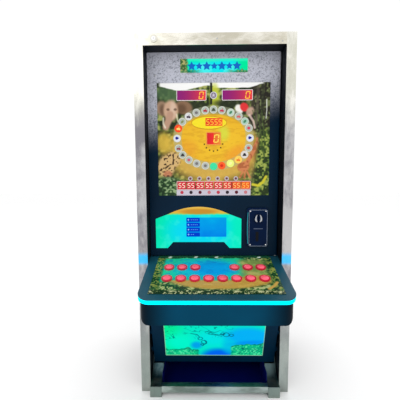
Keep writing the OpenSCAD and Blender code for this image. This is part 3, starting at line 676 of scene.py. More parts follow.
@dataclass(frozen=True)
class SheetSteel:
    """Bare sheet metal, drawn or polished along one axis.

    Attributes:
        dark: Screen colour of its darker clouds.
        bright: Screen colour of its brighter clouds.
        stretch: Noise scale of each axis; a small number draws the streaks out along it.
        rough: Its roughness.
        cloud: Size of the soft clouds, in lumps per metre.
        top_from: Height above which it is at its brightest, in metres; 0 for none.
        dim: Height below which it turns towards low_tint.
        low_tint_band: Depth over which it turns.
        strip_glow_band: Heights between which the deck's light strip's cyan glow is painted on the front,
            when it is: painted light.
        top_tones: Screen colours of its clouds where it is at its brightest.
        low_tint: Screen colour that it turns towards below dim; on the legs this lightens the feet: painted
            light on their lit front faces.
        strip_glow_paint: Screen colour of the painted glow in the base colour.
        strip_glow_light: Screen colour of the painted glow's emission.
    """

    name: str
    dark: Colour
    bright: Colour
    stretch: Colour = (1, 1, 0.06)
    rough: float = 0.24
    cloud: float = 14.0
    top_from: float = 0.0
    dim: float = 0.0
    low_tint_band: float = 0.22
    strip_glow_band: tuple[float, float] | None = None
    top_tones: tuple[Colour, Colour] = ((206, 205, 192), (236, 234, 226))
    low_tint: Colour = (158, 168, 160)
    strip_glow_paint: Colour = (0, 168, 222)
    strip_glow_light: Colour = (0, 150, 214)

    def build(self) -> bpy.types.Material:
        """Clouds the colour softly, and draws fine streaks in roughness and height."""
        g = Graph(self.name)
        soft = tuple(max(s, 0.45) for s in self.stretch)
        clouds = g.noise(self.cloud, soft, detail=4.0, rough=0.65)
        streaks = g.noise(900, self.stretch, detail=2.0)
        share = (clouds + 0.16 * (streaks - 0.5)).step(0.38, 0.62)
        base = g.mix(share, paint(self.dark), paint(self.bright))
        if self.top_from > 0:
            up = (g.axis("Z") + 0.14 * (clouds - 0.5)).step(self.top_from - 0.14, self.top_from)
            base = g.mix(up, base, g.mix(share, *(paint(tone) for tone in self.top_tones)))
        # Towards low_tint near the bottom: on the legs, painted light on the lit front faces of the feet; on
        # the posts, a change of tone towards the bottom.
        if self.dim > 0:
            low_share = 1 - g.axis("Z").step(self.dim - self.low_tint_band, self.dim)
            base = g.mix(0.7 * low_share, base, paint(self.low_tint))
        inputs = {
            "Metallic": 1.0, "Normal": g.bump(streaks, 0.12, 0.0001),
            "Roughness": self.rough + 0.14 * (streaks - 0.5) + 0.1 * (clouds - 0.5),
        }
        # Painted light: the cyan glow of the deck's light strip, painted on the posts' front faces into base
        # colour and emission.
        if self.strip_glow_band:
            low, high = self.strip_glow_band
            z = g.axis("Z") + 0.01 * (clouds - 0.5)
            strip_glow_patch = z.step(low - 0.010, low + 0.004) * (1 - z.step(high - 0.014, high + 0.006))
            strip_glow_patch = strip_glow_patch * (1 - g.axis("Y").step(FRONT_Y - 0.0004, FRONT_Y + 0.0004))
            base = g.mix(0.8 * strip_glow_patch, base, paint(self.strip_glow_paint))
            inputs |= {
                "Emission Color": g.mix(strip_glow_patch, (0, 0, 0), paint(self.strip_glow_light)),
                "Emission Strength": 0.5,
            }
        inputs["Base Color"] = base
        return g.finish(inputs)


@dataclass(frozen=True)
class Moulding:
    """Moulded plastic or rubber.

    Attributes:
        colour: Screen colour.
        rough: Its roughness.
        coat: Strength of its clear coat.
        glow: Emission strength, in the piece's own colour.
        grain: Depth of its texture, in metres.
        shine: Specular level.
    """

    name: str
    colour: Colour
    rough: float = 0.45
    coat: float = 0.0
    glow: float = 0.0
    grain: float = 0.0
    shine: float = 0.3

    def build(self) -> bpy.types.Material:
        """Varies the colour and the roughness a little, over a fine grain."""
        g = Graph(self.name)
        drift = g.noise(30, detail=2.0)
        tint = light(self.colour)
        base = g.mix(drift.step(0.3, 0.7), tuple(tint * 0.9), tuple(np.minimum(tint * 1.1, 1)))
        inputs = {
            "Base Color": base, "Roughness": self.rough + 0.1 * (drift - 0.5), "Coat Weight": self.coat,
            "Coat Roughness": 0.06, "Specular IOR Level": self.shine,
        }
        if self.glow > 0:
            inputs |= {"Emission Color": base, "Emission Strength": self.glow}
        if self.grain > 0:
            inputs["Normal"] = g.bump(g.noise(1400, detail=1.0), 0.5, self.grain)
        return g.finish(inputs)


@dataclass(frozen=True)
class Plated:
    """Bright plating, faintly clouded.

    Attributes:
        colour: Screen colour.
        rough: Its roughness.
    """

    name: str
    colour: Colour = (226, 226, 228)
    rough: float = 0.12

    def build(self) -> bpy.types.Material:
        """Clouds the roughness, as handling does."""
        g = Graph(self.name)
        clouds = g.noise(60, detail=2.0)
        return g.finish({
            "Base Color": (*light(self.colour), 1), "Metallic": 1.0,
            "Roughness": self.rough + 0.12 * (clouds - 0.4),
        })


@dataclass(frozen=True)
class LitPrint:
    """Printed or lit colours, taken from the piece's own attribute, under a clear coat.

    Attributes:
        glow: Emission strength.
        paint: How much of its colour shows by the room's light.
        rough: Roughness of the face.
        coat: Strength of the clear coat.
        shine: Specular level of the face.
    """

    name: str
    glow: float = 0.3
    paint: float = 0.6
    rough: float = 0.3
    coat: float = 0.1
    shine: float = 0.1

    def build(self) -> bpy.types.Material:
        """Feeds the attribute to the emission, and a darker copy of it to the base."""
        g = Graph(self.name)
        ink = g.attribute(PRINT)
        return g.finish({
            "Base Color": g.mix(
                self.paint, (0, 0, 0), ink
            ), "Emission Color": ink, "Emission Strength": self.glow,
            "Roughness": self.rough + 0.08 * (g.noise(45) - 0.5), "Coat Weight": self.coat,
            "Coat Roughness": 0.05, "Specular IOR Level": self.shine,
        })


@dataclass(frozen=True)
class BoardMask:
    """Solder mask over copper tracks and plated dots.

    Attributes:
        mask: Screen colour over the bare board.
        track: Screen colour over the copper.
        dot: Screen colour of the plated dots.
        pitch: Track cells per metre.
    """

    name: str
    mask: Colour = (18, 84, 48)
    track: Colour = (40, 128, 74)
    dot: Colour = (190, 176, 110)
    pitch: float = 130.0

    def build(self) -> bpy.types.Material:
        """Draws tracks as the edges of square cells, and dots at some cell middles."""
        g = Graph(self.name)
        cells = {"Vector": g.place(), "Scale": self.pitch, "Randomness": 0.45}
        edge = g.node("ShaderNodeTexVoronoi", {"distance": "CHEBYCHEV"}, cells, "Distance")
        fine = g.node("ShaderNodeTexVoronoi", {}, {**cells, "Scale": self.pitch * 2.2}, "Distance")
        lines = edge.step(0.46, 0.5)
        base = g.mix(lines, paint(self.mask), paint(self.track))
        base = g.mix(1 - fine.step(0.08, 0.13), base, paint(self.dot))
        return g.finish({
            "Base Color": base, "Roughness": 0.34 + 0.1 * lines, "Coat Weight": 0.25, "Coat Roughness": 0.1,
            "Normal": g.bump(lines, 0.3, 0.00008),
        })


class Finishes:
    """Every finish of the machine, built once and shared."""

    def __init__(self) -> None:
        """Builds the materials."""
        upright = (1, 1, 0.06)
        level = (0.06, 1, 1)
        specs = [
            # The posts carry the light strip's glow as painted light.
            SheetSteel(
                "post_steel_and_strip_glow", (134, 132, 138), (188, 187, 188), upright, top_from=1.0, dim=0.34,
                strip_glow_band=(0.453, 0.487)
            ),
            SheetSteel("bar_steel", (202, 197, 180), (238, 235, 224), level),
            SheetSteel("rail_steel", (132, 140, 134), (196, 204, 200), level, 0.3),
            # The legs' lighter bottom is painted light on the feet's lit front faces.
            SheetSteel("leg_steel_and_lit_feet", (30, 56, 64), (84, 104, 106), upright, 0.3, dim=0.042, low_tint_band=0.008),
            SheetSteel("zinc_sheet", (128, 132, 136), (188, 191, 194), (1, 1, 1), 0.38, 26.0),
            PowderCoat("cabinet_coat", (14, 18, 24), 0.5),
            # The door's silver fleck, thickest at the top, is painted sheen.
            PowderCoat("door_coat_and_sheen", (0, 26, 46), 0.42, (190, 192, 204), 0.86, 1.03, 0.96, 0.25),
            PowderCoat("sill_coat", (4, 42, 56), 0.42),
            PowderCoat("deck_coat", (18, 68, 84), 0.36, shine=0.2),
            # The deck box's darker ends are painted shade.
            PowderCoat(
                "panel_coat_and_end_shade", (0, 60, 86), 0.40, grain=0.0002, shine=0.04, ends=(0, 16, 28), shade_from=0.08
            ),
            PowderCoat("bay_coat", (2, 10, 74), 0.45, grain=0.0002),
            PowderCoat("rake_coat", (0, 34, 56), 0.42, grain=0.0002, shine=0.04),
            Moulding("black_moulding", (16, 16, 18), 0.5, grain=0.0001),
            Moulding("white_moulding", (226, 228, 228), 0.5),
            Moulding("overlay_edge", (20, 58, 50), 0.5, shine=0.1),
            Moulding("rubber", (16, 16, 17), 0.8, grain=0.0002),
            # The bezels' red is darkened below the plungers' pink: painted shade of the buttons' lower
            # parts.
            Moulding("red_bezel", (196, 26, 56), 0.3, 0.3, 0.05),
            Moulding("red_plunger", (244, 88, 112), 0.22, 0.5, 0.12),
            Moulding("coin_black", (4, 24, 56), 0.3, shine=0.04),
            Moulding("light_strip", (0, 222, 250), 0.4, 0.0, 0.85, shine=0.0),
            Plated("chrome"),
            Plated("ring_steel", (204, 202, 192), 0.2),
            Plated("bare_steel", (176, 178, 180), 0.28),
            BoardMask("board"),
            LitPrint("glass_print", 0.42, 0.5),
            LitPrint("lit_lamp", 0.5, 0.45),
            LitPrint("lit_lens", 0.86, 0.12, 0.4, 0.0, 0.02),
            LitPrint("lit_digit", 1.0, 0.1, 0.4, 0.0, 0.02),
            # The deck sheet is no lamp: its glow is painted light.
            LitPrint("deck_print_painted_glow", 0.3, 0.65, 0.25, 0.3, 0.2),
            LitPrint("plain_print", 0.1, 0.8, 0.4, 0.05),
        ]
        self.by_name = {spec.name: spec.build() for spec in specs}

    def dress(self, finish: str, *nodes: str) -> None:
        """Gives CAD nodes a finish.

        Args:
            finish: Name of the finish.
            nodes: Names of the CAD nodes.
        """
        for node in nodes:
            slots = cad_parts[node].data.materials
            slots.clear()
            slots.append(self.by_name[finish])
            log.info("%s: %s", node, finish)


# ---------- pieces ----------


@dataclass
class Assembly:
    """A sub-assembly: it dresses its CAD nodes and adds its own pieces.

    Attributes:
        finishes: The shared finishes.
        body: The CAD body that its new pieces ride on.
    """

    finishes: Finishes
    body: Body = Body.CABINET

    def add(self, name: str, shape: Shape, finish: str, slot: str, *stands_for: str) -> bpy.types.Object:
        """Makes one piece of a shape.

        Args:
            name: The piece's name.
            shape: Its mesh and colours.
            finish: Its finish.
            slot: The record's material slot; not used.
            stands_for: CAD nodes that it takes the place of.

        Returns:
            The piece.
        """
        mesh = bpy.data.meshes.new(name)
        mesh.from_pydata(shape.points.tolist(), [], shape.faces)
        ink = mesh.color_attributes.new(PRINT, "FLOAT_COLOR", "POINT")
        rgba = np.hstack([light(np.clip(shape.colours, 0, 255)), np.ones((len(shape.points), 1))])
        ink.data.foreach_set("color", rgba.astype(np.float32).ravel())
        mesh.materials.append(self.finishes.by_name[finish])
        mesh.shade_smooth()
        mesh.set_sharp_from_angle(angle=math.radians(32))
        mesh.update()
        piece = bpy.data.objects.new(name, mesh)
        bpy.context.scene.collection.objects.link(piece)
        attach(piece, self.body.value)
        if stands_for:
            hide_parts(*stands_for)
        log.info("%s: %d faces on %s", name, len(shape.faces), self.body.value)
        return piece

    def screws(
        self, name: str, face: Face, places: list[tuple[float, float]], radius: float, finish: str,
        slot: str
    ) -> None:
        """Domed screw heads: a quarter-round profile turned about each place."""
        r = radius * np.array([0, 0.5, 0.85, 1.0, 1.0, 0])
        h = radius * np.array([0.55, 0.48, 0.3, 0.1, -0.02, -0.02])
        shape, _ = turned(face, np.array(places), r, h, 20)
        self.add(name, shape, finish, slot)


@dataclass
class SteelFrame(Assembly):
    """The stainless front frame, the foot rest and the top lock."""

    def build(self) -> None:
        """Dresses the frame and adds its fixings."""
        self.finishes.dress("post_steel_and_strip_glow", "left_post", "right_post")
        self.finishes.dress("bar_steel", "top_bar")
        self.finishes.dress("rail_steel", "foot_rail")
        self.finishes.dress("leg_steel_and_lit_feet", "leg_brackets")
        self.finishes.dress("ring_steel", "top_lock_body")
        self.finishes.dress("chrome", "top_lock_cam")
        bar = face_of("top_bar", (0, -1, 0))
        self.screws("bar_rivets", bar, [(7.7, 0.0), (206.0, -9.0)], 2.4, "bare_steel", "stainless")


@dataclass
class CabinetShell(Assembly):
    """The sheet-steel box, its feet and its rear door."""

    def build(self) -> None:
        """Dresses the shell."""
        self.finishes.dress(
            "cabinet_coat", "left_side_panel", "right_side_panel", "roof_panel", "header_panel",
            "floor_panel", "rear_frame", "rear_door",
        )
        self.finishes.dress("rubber", "rear_feet")
        self.finishes.dress("bare_steel", "door_pins")
        self.finishes.dress("chrome", "rear_lock_body", "rear_lock_cam")
        self.finishes.dress("black_moulding", "fan_housing", "fan_rotor", "mains_inlet")


@dataclass
class Inside(Assembly):
    """The boards, supply, chute, cash box and speaker."""

    def build(self) -> None:
        """Dresses what shows when the doors are open."""
        self.finishes.dress("board", "main_board", "game_board")
        self.finishes.dress("zinc_sheet", "power_supply", "coin_chute", "cash_box")
        self.finishes.dress("black_moulding", "speaker", "button_switches", "coin_mech")


@dataclass
class GameArt(Assembly):
    """The printed game glass with its ring of lamps and its displays.

    Attributes:
        lamps: Number of lamps in the ring.
        ring_u: Half the ring's width.
        ring_v: Half its height.
        ring_lift: Height of its middle above the glass's middle.
        lamp_r: Radius of a lamp's printed disc.
        lit_lamps: Numbers of the lamps whose rims are lit.
    """

    body: Body = Body.DOOR
    lamps: int = 24
    ring_u: float = 121.0
    ring_v: float = 93.0
    ring_lift: float = 6.0
    lamp_r: float = 12.6
    lit_lamps: tuple[int, ...] = (9, 10, 11, 12, 19)

    def build(self) -> None:
        """Paints the glass and sets out everything on it."""
        glass = face_of("game_glass", (0, -1, 0))
        self.add("game_picture", self.picture(glass), "glass_print", "printed_glass", "game_glass")
        self.add("lamp_ring", self.ring(glass), "lit_lamp", "printed_glass")
        plates, frames, digits = self.displays(glass)
        self.add("display_plates", joined(plates), "lit_lamp", "printed_glass")
        self.add("display_frames", joined(frames), "plain_print", "printed_glass")
        self.add("display_digits", joined(digits), "lit_digit", "printed_glass")
        self.add("stake_symbols", self.symbols(glass), "plain_print", "printed_glass")

    def lamp_places(self) -> Array:
        """The lamps' middles, clockwise from the top, on a rounded oval.

        The oval is u = a sign(s) |s|^1.1 and v = b sign(c) |c|^0.78, where s and c
        are the sine and cosine of the lamp's angle.
        """
        a = np.arange(self.lamps) * 2 * math.pi / self.lamps
        s, c = np.sin(a), np.cos(a)
        u = self.ring_u * np.sign(s) * abs(s) ** 1.1
        v = self.ring_lift + self.ring_v * np.sign(c) * abs(c) ** 0.78
        return np.stack([u, v], -1)

    def picture(self, glass: Face) -> Shape:
        """Paints a clearing in a jungle, with a golden floor and animals round it."""
        c = Canvas(glass.width, glass.height, 1.5, (58, 66, 34))
        u, v = c.u, c.v
        every = np.ones_like(u)
        c.leaves(every, [(34, 44, 22), (66, 84, 38), (104, 122, 58), (168, 172, 96)], 26, 3)
        # trees on the right and in the middle, hills under a white sky
        c.leaves(smooth(118, 140, u), [(36, 34, 26), (58, 58, 40), (84, 92, 56), (120, 130, 84)], 16, 11)
        for trunk, tone in ((128, (52, 44, 38)), (144, (84, 76, 66)), (160, (48, 52, 36))):
            c.lay(0.7 * c.stroke([(trunk - 6, 40), (trunk, 110), (trunk + 2, 184)], 10, 0.4), tone)
        c.lay(0.85 * c.oval(-135, 152, 66, 26, 0, 0.35), (74, 106, 70))
        wave = 5 * Noise(5).cloud(u, v, 20)
        skyline = np.where(
            u < 0, 160 + 17 * np.clip(abs(u + 108) / 78, 0, 1), 170 + 12 * smooth(110, 160, u)
        )
        c.lay(
            smooth(-1, 2, v + wave - skyline) * smooth(-184, -172, u) * (1 - smooth(158, 170, u)),
            (252, 252, 250)
        )
        c.lay(0.92 * c.oval(3, 135, 16, 44, 0, 0.4), (196, 206, 62))
        c.lay(c.stroke([(-8, 184), (-7, 150), (-8, 118)], 7, 0.4), (28, 34, 24))
        c.lay(0.8 * c.oval(60, 118, 60, 14, 0, 0.4), (38, 46, 28))
        c.lay(0.8 * c.oval(-66, 112, 44, 12, 0, 0.4), (44, 52, 30))
        # the golden floor of the clearing
        c.lay(0.95 * c.oval(0, -44, 158, 98, 0, 0.25), (218, 176, 78))
        c.lay(0.9 * c.oval(-165, -8, 26, 34, 0, 0.5), (222, 184, 66))
        c.lay(c.oval(0, 0, 132, 88, 0, 0.12), (238, 184, 38))
        c.lay(0.7 * c.oval(14, -8, 96, 54, 0, 0.6), (246, 198, 44))
        grain = Noise(21).cloud(u * 0.35, v, 7, 3)
        c.lay(0.35 * c.oval(0, 0, 130, 86, 0, 0.15) * smooth(0.5, 0.7, grain), (206, 148, 30))
        c.lay(0.6 * c.oval(78, -46, 44, 24, 30, 0.6), (240, 150, 44))
        c.lay(0.5 * c.oval(-84, -30, 30, 30, 0, 0.6), (236, 158, 44))
        c.lay(0.8 * c.oval(34, 22, 17, 24, 0, 0.6), (214, 226, 70))
        self.elephant(c)
        self.big_cat(c)
        self.giraffe(c)
        self.parrot(c)
        # bushes in the lower corners, with one bright blade on the right
        c.leaves(
            c.oval(-160, -158, 62, 34, 0, 0.25), [(30, 58, 32), (66, 104, 58), (150, 176, 128)], 14, 31
        )
        right = smooth(142, 160, u - 0.12 * v) * (1 - smooth(10, 60, v))
        c.leaves(right, [(40, 58, 26), (96, 122, 48), (164, 176, 84)], 16, 37)
        c.lay(c.stroke([(132, -148), (150, -152), (166, -140), (176, -122)], 9, 0.5), (214, 204, 52))
        for lean in (0, 16, 30):
            c.lay(
                0.8 * c.stroke([(128 + lean, 96), (146 + lean * 0.7, 20), (170, -60)], 2.6, 0.6),
                (70, 92, 40)
            )
        c.lay(0.85 * c.stroke([(174, 130), (175, 96), (173, 70)], 3.0, 0.6), (240, 242, 236))
        # pale bed under the lamps' ring, and the panel under the stakes
        track = [tuple(place) for place in self.lamp_places()]
        c.lay(0.55 * c.stroke([*track, track[0]], 27, 0.12), (176, 180, 150))
        c.lay(
            smooth(-126, -124, u) * (1 - smooth(124, 126, u)) * (1 - smooth(-166, -164, v)), (206, 200, 214)
        )
        return c.slab(glass, 5.0)

    @staticmethod
    def elephant(c: Canvas) -> None:
        """An elephant's head at the upper left: two ears, a face and a trunk."""
        c.lay(c.oval(-170, 104, 20, 24, 10, 0.25), (160, 130, 104))
        c.lay(0.7 * c.oval(-166, 98, 11, 18, 10, 0.5), (96, 70, 52))
        c.lay(c.oval(-98, 106, 29, 22, -14, 0.22), (138, 106, 80))
        c.lay(0.7 * c.oval(-106, 102, 16, 15, -14, 0.5), (92, 66, 46))
        c.lay(c.oval(-141, 96, 24, 34, 0, 0.22), (206, 168, 140))
        c.lay(0.6 * c.oval(-134, 100, 9, 26, 0, 0.6), (228, 202, 180))
        c.lay(c.stroke([(-143, 84), (-150, 62), (-158, 44)], 22, 0.35), (192, 152, 128))
        c.lay(0.8 * c.stroke([(-166, 72), (-166, 54), (-160, 42)], 6, 0.5), (238, 230, 206))
        c.lay(0.7 * c.stroke([(-122, 84), (-118, 62)], 5, 0.5), (236, 228, 204))
        c.lay(0.7 * c.oval(-150, 100, 5, 4, 0, 0.5), (84, 62, 46))
        c.lay(0.7 * c.oval(-126, 100, 5, 4, 0, 0.5), (84, 62, 46))

    @staticmethod
    def big_cat(c: Canvas) -> None:
        """A spotted cat's head and shoulder at the lower left."""
        head = np.maximum(c.oval(-158, -86, 29, 38, -8, 0.2), c.oval(-136, -64, 24, 26, 30, 0.25))
        c.lay(head, (218, 182, 122))
        spots = Noise(41).at(c.u, c.v, 5.0)
        c.lay(head * smooth(0.58, 0.68, spots), (74, 52, 30))
        c.lay(0.9 * c.oval(-154, -112, 14, 12, 0, 0.35), (208, 134, 96))
        c.lay(0.9 * c.oval(-153, -119, 5, 4, 0, 0.3), (92, 40, 34))
        for side in (-1, 1):
            c.lay(0.9 * c.oval(-157 + 10 * side, -92, 3.4, 2.2, -14 * side, 0.4), (52, 40, 24))
        c.lay(0.8 * c.oval(-156, -130, 14, 6, 0, 0.4), (238, 226, 200))

    @staticmethod
    def giraffe(c: Canvas) -> None:
        """A giraffe on the right: a body, legs and a leaning neck with a head."""
        body = np.maximum(
            c.oval(100, -88, 20, 17, 20, 0.2), c.stroke([(108, -84), (128, -44), (148, -4)], 14, 0.3)
        )
        body = np.maximum(body, c.oval(152, 0, 12, 6, -30, 0.3))
        for foot in ((88, -124), (104, -126), (122, -124)):
            body = np.maximum(body, c.stroke([(106, -92), foot], 6, 0.4))
        c.lay(0.9 * c.oval(150, -36, 22, 34, 10, 0.5), (150, 104, 52))
        c.lay(body, (212, 132, 84))
        patches = Noise(53).at(c.u, c.v, 6.0)
        c.lay(0.6 * body * smooth(0.55, 0.66, patches), (158, 84, 46))

    @staticmethod
    def parrot(c: Canvas) -> None:
        """A red and white bird above the ring's right shoulder."""
        c.lay(c.oval(84, 100, 12, 16, 30, 0.25), (242, 240, 234))
        c.lay(c.oval(101, 106, 13, 15, 40, 0.2), (226, 52, 54))
        c.lay(0.9 * c.oval(120, 92, 12, 16, -30, 0.3), (206, 170, 150))
        c.lay(0.8 * c.stroke([(118, 80), (132, 60), (136, 40)], 7, 0.5), (236, 206, 196))

    def symbol_of(self, k: int) -> tuple[Symbol, Colour, Colour]:
        """The picture, its colour and the disc's colour of lamp k."""
        dim = (178, 190, 178)
        red, green, blue, grey = (196, 52, 78), (70, 132, 96), (22, 34, 138), (120, 116, 118)
        table = {
            0: (Symbol.BELL, (66, 74, 52), dim),
            1: (Symbol.CHERRY, red, dim),
            2: (Symbol.LIME, green, (190, 214, 196)),
            3: (Symbol.CHERRY, (214, 92, 96), dim),
            4: (Symbol.LIME, green, (168, 206, 184)),
            5: (Symbol.PLUM, (214, 66, 92), dim),
            6: (Symbol.DROP, blue, (226, 230, 240)),
            7: (Symbol.PLUM, (206, 74, 72), dim),
            8: (Symbol.BELL, (40, 38, 40), (226, 220, 214)),
            9: (Symbol.CHERRY, (244, 120, 40), (255, 214, 96)),
            10: (Symbol.LIME, (250, 250, 170), (240, 250, 130)),
            11: (Symbol.PLUM, (214, 44, 22), (255, 96, 40)),
            12: (Symbol.PLAIN, (40, 226, 160), (64, 226, 166)),
            15: (Symbol.PLUM, (206, 96, 116), dim),
            16: (Symbol.BELL, (60, 56, 58), dim),
            17: (Symbol.CHERRY, (150, 52, 66), dim),
            18: (Symbol.DROP, blue, (226, 230, 240)),
            19: (Symbol.CHERRY, (255, 232, 120), (255, 76, 28)),
            20: (Symbol.LIME, (132, 140, 92), dim),
            21: (Symbol.CHERRY, (56, 40, 56), (222, 222, 226)),
            23: (Symbol.CHERRY, (176, 46, 58), dim),
        }
        return table.get(k, (Symbol.PLUM, grey, (182, 188, 180)))

    @staticmethod
    def symbol_mask(symbol: Symbol, x: Array, y: Array) -> Array:
        """Where a symbol covers its disc, for places from the disc's middle."""
        if symbol is Symbol.CHERRY:
            pair = np.minimum(np.hypot(x + 3, y + 1.5), np.hypot(x - 3.2, y + 2.2))
            stalk = np.maximum(abs(x - 0.35 * y - 0.4) - 0.5, abs(y - 3) - 3)
            return np.maximum(1 - smooth(2.9, 3.9, pair), 1 - smooth(0.0, 0.9, stalk))
        if symbol is Symbol.LIME:
            return 1 - smooth(0.85, 1.1, np.hypot((x + y) / 8.6, (x - y) / 5.4))
        if symbol is Symbol.PLUM:
            return 1 - smooth(4.6, 5.8, np.hypot(x, y * 1.1))
        if symbol is Symbol.BELL:
            return (1 - smooth(0.8, 1.1, abs(x) / (2.6 + 0.5 * (5 - y)))) * (1 - smooth(4.2, 5.2, abs(y)))
        if symbol is Symbol.DROP:
            return 1 - smooth(0.85, 1.1, np.hypot(x / 6.0, (y - 1) / (4.6 - 0.35 * x)))
        return np.zeros_like(x)

    def ring(self, glass: Face) -> Shape:
        """The lamps' discs: a raised rim round a faintly domed face with its symbol."""
        edge = self.lamp_r
        r = np.concatenate([[0], np.linspace(1.0, edge - 2.2, 11), [edge - 1.9, edge - 0.5, edge, edge, 0]])
        h = np.concatenate([0.5 - 0.2 * (r[:12] / edge) ** 2, [0.9, 0.9, 0.6, 0.0, 0.0]])
        places = self.lamp_places()
        shape, local = turned(glass, places, r, h, 40)
        per = len(local) // self.lamps
        radial = np.hypot(local[:, 0], local[:, 1])
        rim = smooth(edge - 2.2, edge - 1.9, radial)
        for k in range(self.lamps):
            own = slice(k * per, (k + 1) * per)
            symbol, ink, disc = self.symbol_of(k)
            x, y = local[own, 0], local[own, 1]
            covered = self.symbol_mask(symbol, x, y)[:, None]
            colours = np.array(disc, float) * (1 - covered) + np.array(ink, float) * covered
            rim_colour = np.array(disc if k in self.lit_lamps else (220, 220, 214), float)
            shape.colours[own] = colours * (1 - rim[own, None]) + rim_colour * rim[own, None]
        return shape

    def displays(self, glass: Face) -> tuple[list[Shape], list[Shape], list[Shape]]:
        """The credit, bonus, count and stake displays.

        Args:
            glass: The glass's front.

        Returns:
            Their plates, their frames and their digits.
        """
        plates, frames, digits = [], [], []
        white, orange, pale = (236, 232, 232), (255, 196, 66), (255, 240, 214)

        def plate(
            u0: float, u1: float, v0: float, v1: float, left: Colour, right: Colour, bend: float
        ) -> None:
            """A raised plate whose colour runs from left to right."""
            share = np.linspace(0, 1, 25)
            u, v = np.meshgrid(u0 + (u1 - u0) * share, np.array([v0, v1]), indexing="ij")
            t = (share**bend)[:, None, None]
            rgb = np.array(left, float) * (1 - t) + np.array(right, float) * t + np.zeros((25, 2, 3))
            plates.append(slab(glass.raised(0.5), u, v, 0.5, rgb, left))

        def frame_round(
            u0: float, u1: float, v0: float, v1: float, colour: Colour, radius: float = 1.1
        ) -> None:
            """A bead round a plate."""
            line = round_rect((u0 + u1) / 2, (v0 + v1) / 2, u1 - u0, v1 - v0, 2.0, 4)
            frames.append(rim_tube(glass, line, radius, 0.5, colour, 6))

        for u0, u1 in ((-120.5, -24.5), (28.5, 127.5)):
            plate(u0, u1, 128.5, 161.0, (138, 24, 116), (240, 62, 60), 1.6)
            frame_round(u0, u1, 128.5, 161.0, white)
            digits.append(digit(glass, u1 - 15.5, 144.5, 24, 0, 0.55, orange))
        plate(-26.5, 29.5, 46.5, 71.5, (226, 40, 30), (250, 92, 40), 1.0)
        for k in range(4):
            digits.append(digit(glass, -18.5 + 13.4 * k, 59.0, 18, 5, 0.55, (255, 206, 70)))
        plate(-21.5, 0, -13.5, 23.5, (214, 30, 44), (238, 44, 40), 1.0)
        plate(0, 21.5, -13.5, 23.5, (224, 100, 40), (238, 140, 48), 1.0)
        frame_round(-23.0, 23.0, -15.0, 25.0, (242, 160, 74), 1.8)
        digits.append(digit(glass, 9.5, 5.0, 27, 0, 0.55, (255, 222, 90)))
        cell = (123.5 + 122.5) / 8
        for k in range(8):
            u0 = -122.5 + cell * k
            warm = smooth(5, 8, np.array(k + 1.0))
            back = tuple(np.array((214, 40, 60)) * (1 - warm) + np.array((244, 96, 30)) * warm)
            ink = tuple(np.array(pale) * (1 - warm) + np.array((255, 204, 90)) * warm)
            plate(u0 + 1.4, u0 + cell - 1.4, -162.5, -138.5, back, back, 1.0)
            for side in (-1, 1):
                digits.append(digit(glass, u0 + cell / 2 + side * 6.2, -150.5, 16, 5, 0.55, ink))
        frame_round(-123.5, 124.5, -164.0, -137.0, (240, 190, 190), 1.3)
        return plates, frames, digits

    def symbols(self, glass: Face) -> Shape:
        """The emblem, the round symbols over the stakes, the row under them, the bonus oval and the dots."""
        flat_r = np.array([0, 0.35, 0.7, 0.93, 1.0, 1.0, 0])
        flat_h = np.array([0.45, 0.45, 0.45, 0.45, 0.3, 0.0, 0.0])
        parts = []
        emblem, local = turned(glass, np.array([(0.0, 144.5)]), 11.5 * flat_r, flat_h, 40)
        ring = np.hypot(local[:, 0], local[:, 1])
        emblem.colours[:] = np.where((ring > 8.5)[:, None], (224, 222, 228), (132, 122, 142))
        parts.append(emblem)
        parts.append(prism(glass, star(0, 144.5, 6.5), 0.4, 0.7, (206, 200, 212)))
        stakes = np.stack([-78.1 + 30.6 * np.arange(6), np.full(6, -127.5)], -1)
        discs, local = turned(glass, stakes, 7.6 * flat_r, flat_h, 28)
        inner = np.hypot(local[:, 0], local[:, 1]) < 4.6
        discs.colours[:] = np.where(inner[:, None], (104, 48, 66), (196, 186, 190))
        parts.append(discs)
        row = np.stack([-107.0 + 30.75 * np.arange(8), np.full(8, -174.0)], -1)
        fruit, local = turned(glass, row, 5.6 * flat_r, flat_h, 24)
        tint = np.repeat(
            np.array([(196, 60, 80), (52, 40, 50), (96, 20, 40), (206, 120, 130)] * 2), len(local) // 8,
            axis=0
        )
        fruit.colours[:] = tint
        parts.append(fruit)
        a = np.arange(64) * 2 * math.pi / 64
        oval = np.stack([-14.5 + 58 * np.cos(a), 56.5 + 20.5 * np.sin(a)], -1)
        parts.append(prism(glass, oval, 0.0, 0.3, (246, 226, 42)))
        parts.append(rim_tube(glass, oval, 1.0, 0.2, (204, 150, 36), 6))
        dots = math.radians(198) + np.arange(7) * math.radians(24)
        places = np.stack([32 * np.cos(dots), -3 + 33 * np.sin(dots)], -1)
        marks, _ = turned(glass, places, 2.6 * flat_r, flat_h, 16)
        marks.colours[:] = (98, 78, 22)
        parts.append(marks)
        return joined(parts)


